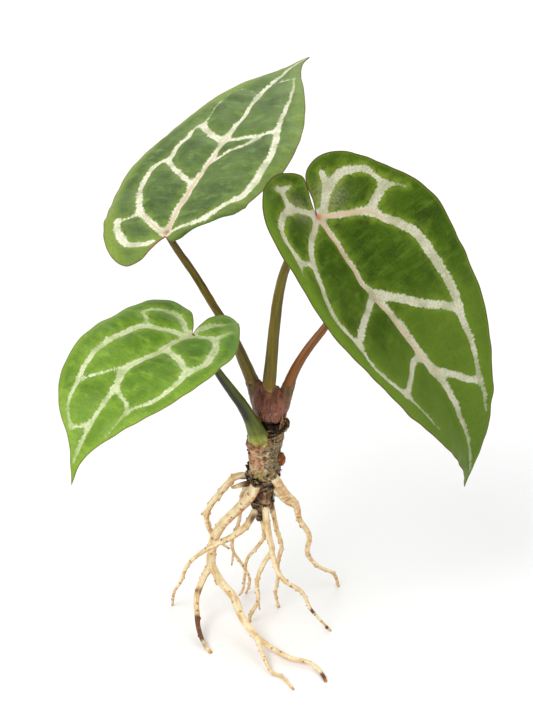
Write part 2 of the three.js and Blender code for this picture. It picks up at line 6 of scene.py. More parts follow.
import bpy
import numpy as np
from bpy.props import FloatProperty, FloatVectorProperty, PointerProperty
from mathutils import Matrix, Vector


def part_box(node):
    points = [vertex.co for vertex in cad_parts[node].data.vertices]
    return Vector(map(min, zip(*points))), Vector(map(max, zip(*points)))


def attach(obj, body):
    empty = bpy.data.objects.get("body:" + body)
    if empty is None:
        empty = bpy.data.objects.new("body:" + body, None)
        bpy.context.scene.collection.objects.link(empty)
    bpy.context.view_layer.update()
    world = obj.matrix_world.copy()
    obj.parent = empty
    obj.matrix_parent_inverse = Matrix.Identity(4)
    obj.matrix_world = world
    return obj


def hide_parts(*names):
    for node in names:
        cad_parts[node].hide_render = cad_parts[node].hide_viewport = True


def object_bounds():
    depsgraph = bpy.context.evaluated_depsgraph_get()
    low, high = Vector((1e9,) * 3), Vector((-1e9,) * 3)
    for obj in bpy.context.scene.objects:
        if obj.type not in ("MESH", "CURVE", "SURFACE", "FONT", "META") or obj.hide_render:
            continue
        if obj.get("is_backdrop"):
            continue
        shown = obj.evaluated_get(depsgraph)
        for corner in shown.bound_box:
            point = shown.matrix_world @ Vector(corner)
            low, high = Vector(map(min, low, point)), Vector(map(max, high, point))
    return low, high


bl_info = {
    "name": "Bare-root Anthurium",
    "version": (1, 0, 0),
    "blender": (4, 5, 0),
    "location": "3D View > Sidebar > Plant",
    "description": "Adds an anthurium plant with veined leaves and bare roots, piece by piece",
    "category": "Add Mesh",
}

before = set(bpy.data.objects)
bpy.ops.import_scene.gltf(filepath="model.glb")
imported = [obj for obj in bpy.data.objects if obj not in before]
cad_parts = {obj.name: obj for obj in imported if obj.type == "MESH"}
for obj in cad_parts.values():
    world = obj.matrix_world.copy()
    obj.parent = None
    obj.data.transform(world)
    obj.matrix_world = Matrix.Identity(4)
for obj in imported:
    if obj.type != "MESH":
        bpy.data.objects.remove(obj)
CAD_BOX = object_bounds()

# Lengths in this file are millimetres in the stem's own frame, until a mesh is made of them.
MM = 0.001
KNOB_PLACE = np.array([7.1, 0.2])
KNOB_BOX = [np.array(corner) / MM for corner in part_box("collar_knob")]
SHIFT = np.append((KNOB_BOX[0] + KNOB_BOX[1])[:2] / 2 - KNOB_PLACE, 0)

# The blades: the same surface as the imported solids, with more rows and columns of points.
RIB_CROWDING = (0.25, 2.2)
EDGE_CROWDING = (0.75, 2)
NOTCH_BEND = 0.55
STRAIGHTENING = (0.12, 0.6)
MARGIN_WAVE = 0.5
RIB_SOFTNESS = 0.7

LEAVES = {
    "right": {
        "node": "leaf_right",
        "slot": "dark_blade",
        "size": (150, 64),
        "junction": (17.2, -12, 163),
        "tip": (66.6, -22.5, 69.5),
        "face": (0.63, -0.58, 0.51),
        "length": 112.8,
        "droop": (-5, 68),
        "swerve": 17.6,
        "half_width": 42,
        "fold": ((27, 24.7), (24, 21.8)),
        "curl": 9.9,
        "waves": 5,
        "outlines": (
            [
                (-0.8, 0), (-5.5, 1.9), (-10.7, 3.2), (-14.5, 5.6), (-16.5, 11.5), (-14.5, 18.3),
                (-8.5, 24.2), (-0.3, 30), (9.5, 34.7), (21.8, 36.1), (35, 34), (50, 30),
                (63.3, 25.2), (77, 18.6), (90.5, 11.6), (102, 4.9), (112.8, 0),
            ],
            [
                (-0.8, 0), (-5.5, 1.3), (-10, 3), (-13.8, 3.8), (-17.4, 0), (-18, -7),
                (-15, -19.3), (-7.9, -27.3), (1, -31.3), (15.3, -34), (30, -35.1), (43, -33.4),
                (57.4, -28.4), (69, -22.2), (82.4, -14.5), (93.8, -8.3), (106, -3.2), (112.8, 0),
            ],
        ),
    },
    "top": {
        "node": "leaf_top",
        "slot": "grey_blade",
        "size": (130, 60),
        "junction": (-31.2, -4, 154),
        "tip": (15.7, 75.3, 184),
        "face": (-0.56, -0.54, 0.63),
        "length": 97.6,
        "droop": (3.6, 20),
        "swerve": -4.4,
        "half_width": 28,
        "fold": ((19.4, 5.3), (20.5, 5.6)),
        "curl": 28.8,
        "waves": 4,
        "tuck": {"place": (-2.25, -3.32), "line": (0.487, -0.873), "radius": 1.1, "angle": 172},
        "outlines": (
            [
                (-2, 0), (-4, 1), (-8.2, 2.4), (-13, 3.8), (-16.2, 7), (-14.8, 12.2),
                (-9.8, 18.3), (-1.5, 24.2), (11.9, 30), (24, 32.3), (35.6, 31.2), (47.5, 28.5),
                (57, 23.9), (67.7, 18.2), (77, 11.2), (85, 4.2), (91.5, 1.6), (97.6, 0),
            ],
            [
                (-2, 0), (-4, -3), (-6.8, -5.2), (-11, -7.8), (-12.8, -12.5), (-10.5, -18.5),
                (-5, -22.5), (3.5, -26.3), (14.2, -29.3), (27, -33), (38.5, -31.9), (51.8, -27.3),
                (62.4, -22), (72, -15.5), (80, -9), (87.6, -3.9), (92.6, -1.7), (97.6, 0),
            ],
        ),
    },
    "left": {
        "node": "leaf_left",
        "slot": "pale_blade",
        "size": (110, 50),
        "junction": (-23.5, -18, 123.7),
        "tip": (-60.4, -59.8, 92.6),
        "face": (-0.06, -0.13, 0.99),
        "length": 69.8,
        "droop": (17.4, 63.4),
        "swerve": 15.8,
        "half_width": 27,
        "fold": ((11.3, 8.4), (13.8, 10.2)),
        "curl": 16.1,
        "waves": 4,
        "outlines": (
            [
                (-1, -0.5), (-5.4, -2.8), (-11.4, -4.9), (-14.8, -5.4), (-17.1, -5.1), (-18.8, -4.1),
                (-19.65, -2.7), (-19.85, -1), (-18.6, 1.9), (-15.2, 6.6), (-8.1, 14.6), (-2.9, 19),
                (3, 22.3), (9.9, 24.2), (15.5, 25.1), (25.3, 23.8),
                (35.4, 21), (43, 16.4), (50, 11), (56.5, 5.2), (62.2, 1.9), (69.8, 0),
            ],
            [
                (-1, -0.5), (-4.9, -4.6), (-8.2, -10), (-8.5, -14.5), (-6.5, -19.5), (-1.7, -23),
                (6.2, -24.5), (15, -24.6), (24, -23.7), (34, -21.4), (41.4, -17.8), (50.2, -10.7),
                (56.5, -4.6), (62, -2), (69.8, 0),
            ],
        ),
    },
}

# Each vein: half widths at its start, middle and end, how much of it has a pink line, and its
# points (along, across) in its leaf's own plane.
VEINS = {
    "right": [
        ((1.05, 1.55, 0.35), 0.75, [
            (0, 0), (6, 0), (12.5, -0.5), (19, -1), (25, -2.5), (30.5, -1.5), (42.5, 0), (56, 0.5),
            (68.5, 2.5), (82.5, 2.5), (97, 2.5), (106, 1.5)]),
        ((0.85, 1.8, 0.4), 0.42, [
            (-1, 0), (1, 2.5), (4, 8), (6.5, 13), (9, 16), (13, 18), (17.5, 21), (22.5, 23), (27.5, 23.5),
            (38, 23), (47, 21.5), (54.5, 19), (64.5, 17.5), (73.5, 14.5), (82, 13), (86, 12)]),
        ((1.2, 1.5, 0.3), 0, [
            (-1.5, 3.5), (-6, 8.5), (-7, 11.5), (-8, 15), (-7, 18), (-5, 21.5), (-2, 23.5), (3, 25),
            (6, 28.5), (8.5, 30.5)]),
        ((1.3, 1.2, 0.9), 0, [(-6, 8.5), (-9, 9), (-11.5, 10)]),
        ((1.5, 1.5, 1.5), 0, [(3.5, 24.5), (5, 21.5), (7, 17.5), (8.5, 16)]),
        ((1.5, 1.4, 1.3), 0, [(29.5, -1), (33.5, 3), (38, 7), (43, 11.5), (47, 16), (50, 19)]),
        ((1.2, 1.1, 1), 0, [(61.5, 0.5), (65, 4.5), (69, 8), (72, 10.5), (75, 14)]),
        ((1.2, 1, 0.4), 0.18, [
            (-1, 0), (2.5, -5.5), (5.5, -13), (8.5, -17.5), (13.5, -22), (18.5, -25), (28, -29),
            (37, -27.5), (45.5, -28), (50, -26), (61, -20), (75, -14)]),
        ((1.2, 1.1, 1.2), 0, [(30.5, -3.5), (32.5, -10.5), (34, -17.5), (36.5, -24), (37.5, -27)]),
        ((1.3, 1.1, 1), 0, [(55.5, 0.5), (54.5, -6), (56, -12.5), (57.5, -18.5), (57.5, -21.5)]),
        ((1.1, 1.2, 0.8), 0, [
            (-1, 0), (-4, -6), (-6, -11.5), (-5.5, -18), (-3, -22.5), (0.5, -24.5), (5, -25.5),
            (8.5, -26), (11, -22)]),
        ((0.8, 0.5, 0.3), 0, [(8.5, -26), (12.5, -29.5)]),
        ((1.4, 1.3, 0.5), 0, [(-6.5, -12), (-9.5, -11), (-13, -10), (-13.5, -13.5)]),
        ((1.2, 0.9, 0.4), 0, [(-13, -10), (-13, -2.5)]),
    ],
    "top": [
        ((1.2, 1.1, 0.5), 0.6, [
            (0, 0), (4.5, 0.5), (12, 1), (25.5, 0.5), (37.5, 0), (49, 0), (55, -0.5), (62, 0.5),
            (74.5, 1), (87, 0.5), (97.5, 0)]),
        ((1.1, 1.2, 0.9), 0.3, [
            (-1, 0), (1, 4.5), (4, 9.5), (6.5, 13.5), (11.5, 16.5), (16.5, 19.5), (21, 20.5), (26.5, 20.5),
            (30.5, 18), (32, 16), (37, 16.5), (42.5, 15.5), (47.5, 15), (49.5, 13)]),
        ((1.1, 1.2, 1.1), 0, [(49.5, 13), (45.5, 7.5), (42.5, 1.5), (42, 0.5)]),
        ((0.3, 0.12, 0.02), 0, [
            (49.5, 13), (54.5, 13.5), (61, 14), (66.5, 13), (70.5, 10.5), (71, 7.5), (67.5, 2)]),
        ((0.9, 0.9, 0.8), 0, [(30, 15), (27, 11), (24, 6), (22, 2.5), (21, 1.5)]),
        ((1, 1.4, 0.8), 0, [
            (2, 20), (-2, 18), (-5.5, 14.5), (-7.5, 10.5), (-7, 7.5), (-6, 4.5), (-4.5, 3)]),
        ((0.4, 0.4, 0.6), 0, [(6, 13), (4, 15.5), (2, 20)]),
        ((0.6, 1.4, 0.4), 0, [
            (-1, 0), (0.5, -4), (1.5, -9), (3.5, -15), (7, -18.5), (10.5, -21.5), (14, -24.5), (23, -25.5),
            (32.5, -25), (41, -23), (46.5, -20), (56.5, -17), (69.5, -12.5), (78, -7.5)]),
        ((0.9, 0.8, 0.9), 0, [(43.5, -0.5), (42.5, -7), (43.5, -13.5), (45, -16.5), (46.5, -20)]),
        ((1, 0.9, 0.6), 0, [(33, -2), (35, -4.5), (37, -8), (39, -12), (42, -15.5)]),
        ((0.5, 0.4, 0.3), 0, [(77, -2), (77.5, -5.5), (79.5, -6.5)]),
    ],
    "left": [
        ((0.7, 1.25, 0.5), 0.5, [
            (0.5, -0.5), (5, -0.5), (15.5, 0), (20, -1), (27.5, -2.5), (31.5, -1), (40, 0.5), (49, 0),
            (62.5, -0.5)]),
        ((1, 1.2, 0.3), 0, [
            (0.5, 0), (2.5, -2.5), (4, -5.5), (6, -8.5), (8.5, -12), (11.5, -14), (18.5, -15), (25, -15.5),
            (31.5, -14.5), (40, -12), (46.5, -10), (52.5, -5.5)]),
        ((0.8, 1, 0.4), 0, [
            (-0.5, -3.5), (-2.5, -7.5), (-3.5, -11.5), (-2.5, -14.5), (-0.5, -16.5), (4, -19), (6, -15),
            (8, -13)]),
        ((0.6, 0.5, 0.5), 0, [(27.5, -2.5), (29.5, -5), (33, -7.5), (38, -12)]),
        ((1.1, 1.2, 1), 0, [(12, 1), (13, 4.5), (15, 10.5), (17.5, 15), (18.5, 17.5)]),
        ((1, 1.3, 0.3), 0, [
            (0.5, 0), (-0.5, 1), (-1.5, 4.5), (-2.5, 8), (1, 13), (7, 16.5), (12.5, 19), (19, 17.5),
            (28, 18), (35.5, 15.5), (41, 11), (47.5, 9), (51, 8)]),
        ((0.7, 0.6, 0.5), 0, [(34.5, 0), (37, 4.5), (39, 8.5), (41, 10.5)]),
        ((1, 1, 0.6), 0, [(-2.5, 8), (-7, 8.5), (-9.5, 8.5)]),
        ((0.8, 1.1, 0.5), 0, [(-2, -1), (-5, -1.2), (-9, -1.4), (-14.5, -0.4)]),
        ((0.5, 0.5, 0.3), 0, [(49.5, -0.5), (51, -3), (52.5, -5.5)]),
    ],
}

# How far the webs reach where two veins meet.
VEIN_WEB = 2.2

# A stalk, root or stem is a list of (x, y, z, radius) points that its centre line passes.
STALKS = {
    "stalk_top": [
        (-1.9, 2.6, 87.6, 2), (-3.4, 2.3, 94.2, 2.2), (-6.9, 1.5, 104.4, 2),
        (-11.1, 0.5, 115.1, 1.65), (-15.8, -0.5, 124.2, 1.42), (-22.6, -2.5, 138.1, 1.35),
        (-28.5, -3.6, 148.3, 1.25), (-31.2, -4, 153.6, 1.15),
    ],
    "stalk_right": [
        (1.3, -1, 87.6, 2.35), (1.5, -1, 94, 2.35), (2.3, 0, 103.5, 2.2), (3.3, 1.5, 115.7, 2),
        (5.1, 2.5, 130, 1.75), (7.2, 1.5, 138.9, 1.55), (11.7, -4, 151.3, 1.4), (16.8, -11.2, 162.2, 1.3),
    ],
    "stalk_young": [
        (6.1, 0, 87.4, 1.8), (7.7, 0.5, 93.5, 2), (10.3, 1.5, 100.6, 1.75), (14.4, 3, 107.4, 1.5),
        (19.6, 5.5, 113.6, 1.4), (23.2, 8, 117.6, 1.3), (26, 10, 122, 1.2),
    ],
    "stalk_left": [
        (-1.6, -2.6, 72.6, 2.9), (-1.7, -3.2, 75.6, 3.7), (-2.7, -4.2, 80.2, 3.05),
        (-4.8, -6, 86.4, 2.3), (-7.3, -7.6, 92.3, 2), (-11.4, -10, 100, 1.7),
        (-14.9, -12.5, 107, 1.4), (-19.2, -15.5, 115.7, 1.25), (-23.4, -18, 123.5, 1.15),
    ],
}
YOUNG_BLADE = [
    (26.3, 10.2, 122.6, 1), (27.8, 11.4, 125, 1.4), (29.8, 13, 127.8, 1.75),
    (32.7, 15, 132.8, 1.85), (36, 17, 138.5, 1.3), (39, 19, 144.1, 0.35),
]
STEM = [
    (-1.8, 0, 42.2, 0.5), (-1.6, 0, 44, 1.4), (-1.2, 0, 47, 2.7), (-0.9, 0, 51, 3.7), (-0.6, 0, 55, 4),
    (-0.3, 0, 58.5, 4.5), (-0.1, 0, 61.5, 5.3), (0, 0, 64, 5.4), (0.2, 0, 68, 5.3), (0.5, 0, 72.5, 5.4),
    (1.2, 0.2, 76, 5.1), (1.9, 0.3, 77.9, 4.4),
]
# Bark that grew up round the left stalk's foot, and down over the middle root.
STEM_CUP = [
    (-1.4, -2.2, 70, 2.2), (-1.6, -2.7, 73, 3.5), (-1.9, -3.1, 75.2, 4.05), (-2.3, -3.3, 76.5, 3.8),
    (-2.5, -3.4, 77.2, 2.7),
]
STEM_SLEEVE = [(-0.2, -2, 59.5, 1.3), (0.1, -2.6, 56, 1.6), (0.5, -3, 52.5, 1.7), (0.6, -3.1, 51, 1.55)]
COLLAR = [(3.1, 0.4, 78.3, 3.5), (3.2, 0.4, 79.1, 4.1), (3.3, 0.4, 80.4, 4.2), (3.3, 0.4, 81.6, 3.8)]
SHEATH = [
    (2.4, 0, 82, 4), (2, 0, 84.5, 4.9), (1.8, 0, 88, 5.7), (1.9, 0, 91.5, 5.4), (2, 0, 94, 3.6),
    (2.1, 0, 95.4, 1.6),
]
SHEATH_FLATTEN = 0.8
# Webs of sheath in the forks between neighbouring stalks.
SHEATH_WEBS = [
    [(-0.8, 0.2, 88, 3), (-1.3, 0.2, 94.5, 1.5), (-1.5, 0, 97.6, 0.4)],
    [(4.4, 0, 90, 2.2), (4.5, 0.3, 93, 1), (4.6, 0.5, 95, 0.4)],
]
# The free edge of the outermost sheath, which dips across the front of the middle stalk, as (x, z).
SHEATH_EDGE = [
    (-4, 96), (-2.4, 98.6), (-1.6, 97.8), (0.6, 95.6), (2.6, 94.2), (3.8, 94.6), (4.6, 96), (6, 97),
]
KNOB = {"at": (7.1, 0.2, 80.6), "half": (1.5, 1.8, 2.6)}
BUD = {"at": (5.6, -1.4, 67.8), "half": (1.7, 1.9, 2.4)}

ROOTS = {
    "root_left": [
        [
            (-4.6, 0, 60.6, 1.45), (-6, 0.5, 60.1, 1.3), (-10, 3, 58, 1.25), (-14.4, 6, 50.9, 1.2),
            (-18.9, 8.5, 42.9, 1.1), (-20.2, 10, 37.5, 1.02), (-19.3, 12, 31.2, 0.95),
            (-17.1, 14, 25.8, 0.7), (-12.2, 16, 20.3, 0.4),
        ],
        [(-14.4, 6, 50.4, 0.6), (-15.9, 5, 46.8, 0.35)],
        [(-18.7, 8.5, 43, 0.6), (-22.2, 10, 38.3, 0.35)],
    ],
    "root_fork": [
        [
            (-2.4, -4.6, 60.8, 1.8), (-4, -4, 56, 1.9), (-6.4, -1.5, 50.8, 1.85), (-12.1, 3, 41.7, 1.75),
            (-15.4, 5.5, 36.1, 1.75), (-17.6, 6.5, 30.2, 1.72), (-18.7, 7, 23.4, 1.7),
            (-18.7, 5.6, 18.4, 1.6),
        ],
        [
            (-18.8, 6, 20.5, 1.3), (-22.3, 4, 13.6, 1.17), (-23.8, 1, 9.7, 1.05), (-23.5, -5, 5.5, 0.95),
            (-23, -9, 3.6, 0.85), (-21.1, -15, 1.5, 0.75), (-18.3, -19.6, 0.15, 0.7),
        ],
        [
            (-18.7, 6, 20.5, 1.5), (-15.2, 3, 14.9, 1.5), (-10.6, -2, 11.7, 1.45), (-7.8, -8, 7.5, 1.36),
            (-3.2, -15.5, 5.1, 1.25), (-1.6, -17.8, 4.3, 1.15),
        ],
        [
            (-2.5, -16.4, 4.9, 0.95), (-0.4, -24, 2.7, 0.7), (2.7, -31.5, 1, 0.6), (6.1, -34, 0.75, 0.55),
            (10.2, -41, 0.1, 0.5),
        ],
        [
            (-2.5, -16.4, 4.9, 1.05), (3.1, -21, 3.1, 0.93), (8.8, -24.5, 1.9, 0.86),
            (15.7, -27.3, 1.7, 0.76), (19.8, -32.5, 0.8, 0.65), (21.2, -36.6, 0.15, 0.6),
        ],
    ],
    "root_front": [
        [
            (-2.8, -2.8, 48.6, 1.3), (-3.8, -4, 47, 1.25), (-6.9, -4.5, 42, 1.2), (-12, -4, 37.6, 1.1),
            (-17.4, -2.5, 33.8, 0.97), (-23.4, 0, 27.9, 0.8), (-27.1, 2.5, 21.9, 0.7),
            (-29.6, 5.5, 13.2, 0.6), (-31.8, 7.5, 8.1, 0.52), (-33, 10.7, -0.3, 0.45),
        ],
    ],
    "root_stub": [[(-3.6, 0.4, 57.6, 1.05), (-8.7, -1, 56.9, 0.85), (-11.4, -1.5, 56.3, 0.45)]],
    "root_back": [
        [
            (-3.6, 3.4, 55.4, 0.75), (-7.3, 6, 50.1, 0.65), (-8.8, 8.5, 36.7, 0.63), (-11.2, 11, 27.3, 0.6),
            (-10.9, 12.5, 21.3, 0.57), (-8.7, 13.5, 16.9, 0.53), (-6, 15, 10.8, 0.5),
            (-5.2, 16.5, 6, 0.47), (-6.6, 18.4, -0.3, 0.42),
        ],
        [(-11, 12.5, 21.3, 0.4), (-11.6, 13.6, 14.8, 0.3)],
    ],
    "root_middle": [
        [
            (0.8, -2.6, 51, 1.3), (0.6, -4, 47, 1.25), (1.6, -4.6, 39.8, 1.1), (2.7, -5, 34.2, 1.04),
            (2.6, -5, 31.4, 0.95),
        ],
        [
            (2.7, -5, 33, 0.9), (4.5, -5.5, 25.2, 0.9), (7.2, -5.5, 20.9, 0.84), (13.1, -5, 16, 0.7),
            (16.3, -5, 8.9, 0.6), (19.6, -5.5, 4.7, 0.5), (23.7, -5.6, -0.3, 0.42),
        ],
        [
            (2.7, -5, 33, 0.88), (-0.4, -4.5, 26.9, 0.83), (-2.5, -4, 19.9, 0.77), (-2.2, -2.5, 11, 0.7),
            (-5, -0.8, 2.9, 0.64), (-5.2, 0, -0.3, 0.6),
        ],
        [(-2.2, -2.8, 12.9, 0.4), (-1.5, -0.5, 5.4, 0.3)],
    ],
    "root_slender": [
        [
            (2.3, 1.6, 49.6, 0.95), (3.3, 2, 43.4, 0.9), (4.5, 2.5, 36.4, 0.84), (6.1, 3, 29.9, 0.77),
            (4.8, 4, 22.2, 0.7), (4.8, 5.5, 14.1, 0.64), (4, 7.5, 6.8, 0.58), (5.3, 9.4, -0.3, 0.54),
        ],
    ],
    "root_wisp": [
        [
            (-1.1, 1.2, 44.4, 0.78), (-0.3, 2, 37.9, 0.7), (0, 3.5, 33.3, 0.66), (-2.2, 5.5, 28.3, 0.63),
            (-5.9, 8, 21.4, 0.58), (-6.9, 10.5, 13.1, 0.52), (-7.6, 13, 5.3, 0.46), (-9.1, 14.5, 1.3, 0.4),
        ],
    ],
    "root_right": [
        [
            (2.2, -4.2, 63.6, 1.5), (3.5, -3.8, 61.6, 1.65), (7, 0.5, 53.2, 1.55), (10.9, 4.2, 46.3, 1.3),
            (12.3, 7.5, 38.2, 1.02), (15.8, 10, 30, 0.95), (15.4, 12.5, 20.9, 0.85),
            (19.1, 15.5, 13.5, 0.75), (25, 19.5, 7.5, 0.62), (27, 23, -0.3, 0.54),
        ],
        [(2.3, -1.2, 56.6, 0.95), (3.6, -1, 55, 0.9), (7.6, 2, 48.7, 0.86), (10.7, 5, 45, 0.8)],
    ],
}
# Places on the roots that are brown all over: middle, reach and depth of colour.
ROOT_STAINS = [
    ((-23.4, -6.2, 4.8), 2.4, 1), ((-23.2, -8.3, 4), 2.4, 1), ((-22.6, -10.5, 3.1), 2.5, 1),
    ((-21.9, -13, 2.1), 2.4, 0.9), ((-20.6, -16, 1.2), 2.6, 0.45),
    ((-23.4, 2.5, 11.5), 2.5, 0.48), ((20.4, -34, 0.6), 2.6, 0.9), ((16.8, -5, 8.2), 1.3, 1),
    ((22, -5.6, 1.8), 1, 1), ((9.5, -5.2, 18.9), 0.7, 0.9), ((2.4, 1.6, 48), 4, 0.6),
    ((-1, 1.2, 43), 3, 0.6), ((-4.2, -4.6, 46.2), 3, 0.6), ((-5, 0.6, 59.5), 2.5, 0.5),
    ((-5.6, -0.2, 57.3), 4, 0.7), ((-9.6, 9.6, 32), 1.2, 0.5), ((15.8, 12.5, 20.5), 1, 0.6),
]


# Stands for "nowhere near", in millimetres.
FAR = 99.0
# How many points are compared with a line at once, to spare memory.
CHUNK = 3000
# Between these two values lies nearly all of a noise.
NOISE_SPAN = (0.3, 0.7)
# The grain of the pieces that are grown together from tubes, in millimetres. A root's goes with its
# thinnest part, between two limits.
VOXELS = {"sheath": 0.2, "collar": 0.15, "stem": 0.18}
ROOT_VOXELS = (0.13, 0.19)
ROOT_STEP = 0.35
# A blade's greatest thickness, and how close its points must be to be one.
BLADE_THICKNESS = 1.4
MERGE_WITHIN = 0.03


def fused(piece, voxel, smoothing):
    """Grows joined tubes together into one skin and smooths it."""
    modify(piece, "REMESH", mode="VOXEL", voxel_size=voxel * MM)
    if smoothing:
        modify(piece, "SMOOTH", factor=0.5, iterations=smoothing)


def paint(red, green, blue):
    """A colour as an eye reads it on paper, 0 to 255, as the renderer's linear one."""
    shares = np.array([red, green, blue]) / 255
    linear = np.where(shares <= 0.04045, shares / 12.92, ((shares + 0.055) / 1.055) ** 2.4)
    return (*linear.tolist(), 1.0)


def smoothstep(value, low, high):
    """0 up to low and 1 from high on, with a soft step between."""
    t = np.clip((value - low) / (high - low), 0, 1)
    return t * t * (3 - 2 * t)


def bump_at(distance, reach):
    """1 at a place, falling softly to nothing past its reach."""
    return np.exp(-((distance / reach) ** 2))


def waves(points, length, seed, count=18):
    """Soft seeded noise from -1 to 1: a sum of sine waves in every direction, of about that length."""
    draw = np.random.default_rng(seed)
    total = np.zeros(len(points))
    for _ in range(count):
        direction = draw.normal(size=points.shape[1])
        direction *= 2 * np.pi / (length * draw.uniform(0.6, 1.6) * np.linalg.norm(direction))
        total += np.sin(points @ direction + draw.uniform(0, 2 * np.pi))
    return total / math.sqrt(2 * count)


def smooth_line(points, spacing):
    """Evenly spaced points on the smooth curve through the given ones."""
    knots = np.array(points, float)
    padded = np.vstack([2 * knots[0] - knots[1], knots, 2 * knots[-1] - knots[-2]])
    pieces = []
    for p0, p1, p2, p3 in zip(padded, padded[1:], padded[2:], padded[3:]):
        gaps = [max(np.linalg.norm(b - a) ** 0.5, 1e-4) for a, b in ((p0, p1), (p1, p2), (p2, p3))]
        start = (p1 - p0) / gaps[0] - (p2 - p0) / (gaps[0] + gaps[1]) + (p2 - p1) / gaps[1]
        finish = (p2 - p1) / gaps[1] - (p3 - p1) / (gaps[1] + gaps[2]) + (p3 - p2) / gaps[2]
        start, finish = start * gaps[1], finish * gaps[1]
        t = np.linspace(0, 1, 24, endpoint=False)[:, None]
        square = -3 * p1 + 3 * p2 - 2 * start - finish
        pieces.append(p1 + start * t + square * t**2 + (2 * p1 - 2 * p2 + start + finish) * t**3)
    line = np.vstack([*pieces, knots[-1:]])
    run = run_along(line)
    even = np.linspace(0, run[-1], max(3, round(run[-1] / spacing) + 1))
    return np.stack([np.interp(even, run, column) for column in line.T], -1)


def run_along(line):
    """The distance from a line's start to each of its points."""
    return np.append(0, np.cumsum(np.linalg.norm(np.diff(line[:, :3], axis=0), axis=1)))


def gaps_to(points, line):
    """For every point and every step of a line: how far along the step is nearest, and the gap."""
    start, step = line[:-1], np.diff(line, axis=0)
    offset = points[:, None] - start[None]
    share = np.clip((offset * step).sum(-1) / (step**2).sum(-1), 0, 1)
    return share, offset - share[..., None] * step


def deselect():
    """Leaves edit mode and selects nothing."""
    if bpy.context.object and bpy.context.object.mode != "OBJECT":
        bpy.ops.object.mode_set(mode="OBJECT")
    bpy.ops.object.select_all(action="DESELECT")


def make_active(piece):
    """Selects one piece alone."""
    deselect()
    piece.select_set(True)
    bpy.context.view_layer.objects.active = piece


def modify(piece, kind, **settings):
    """Adds a modifier to a piece and applies it."""
    make_active(piece)
    modifier = piece.modifiers.new(kind.title(), kind)
    for key, value in settings.items():
        setattr(modifier, key, value)
    bpy.ops.object.modifier_apply(modifier=modifier.name)


def edit(piece, *steps):
    """Runs edit-mode operators, each with its settings, on everything in a piece."""
    make_active(piece)
    bpy.ops.object.mode_set(mode="EDIT")
    bpy.ops.mesh.select_all(action="SELECT")
    for operator, settings in steps:
        operator(**settings)
    bpy.ops.object.mode_set(mode="OBJECT")


def vectors_of(piece, field="co"):
    """One vector of every vertex of a mesh, as it is stored: its place, or another field."""
    flat = np.zeros(len(piece.data.vertices) * 3)
    piece.data.vertices.foreach_get(field, flat)
    return flat.reshape(-1, 3)


def places_of(piece):
    """Every vertex of a mesh, in millimetres in the stem's frame."""
    return vectors_of(piece) / MM - SHIFT


def put_places(piece, places):
    """Moves every vertex of a mesh to a place in the stem's frame."""
    piece.data.vertices.foreach_set("co", ((places + SHIFT) * MM).ravel())
    piece.data.update()


def normals_of(piece):
    """The outward direction at every vertex."""
    return vectors_of(piece, "normal")


def put(piece, **layers):
    """Stores one number, or one vector, at every vertex under each name."""
    for name, values in layers.items():
        values = np.asarray(values, np.float32)
        kind, field = ("FLOAT", "value") if values.ndim == 1 else ("FLOAT_VECTOR", "vector")
        layer = piece.data.attributes.new(name, kind, "POINT")
        layer.data.foreach_set(field, values.ravel())


def settle(piece, node, slot, *materials, angle=None):
    """Finishes a piece: its materials, shading, body and the solid that it stands for."""
    if materials:
        piece.data.materials.clear()
    for material in materials:
        piece.data.materials.append(material)
    make_active(piece)
    if angle is None:
        bpy.ops.object.shade_smooth()
    else:
        bpy.ops.object.shade_smooth_by_angle(angle=math.radians(angle))
    if node:
        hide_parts(*([node] if isinstance(node, str) else node))
    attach(piece, "root")


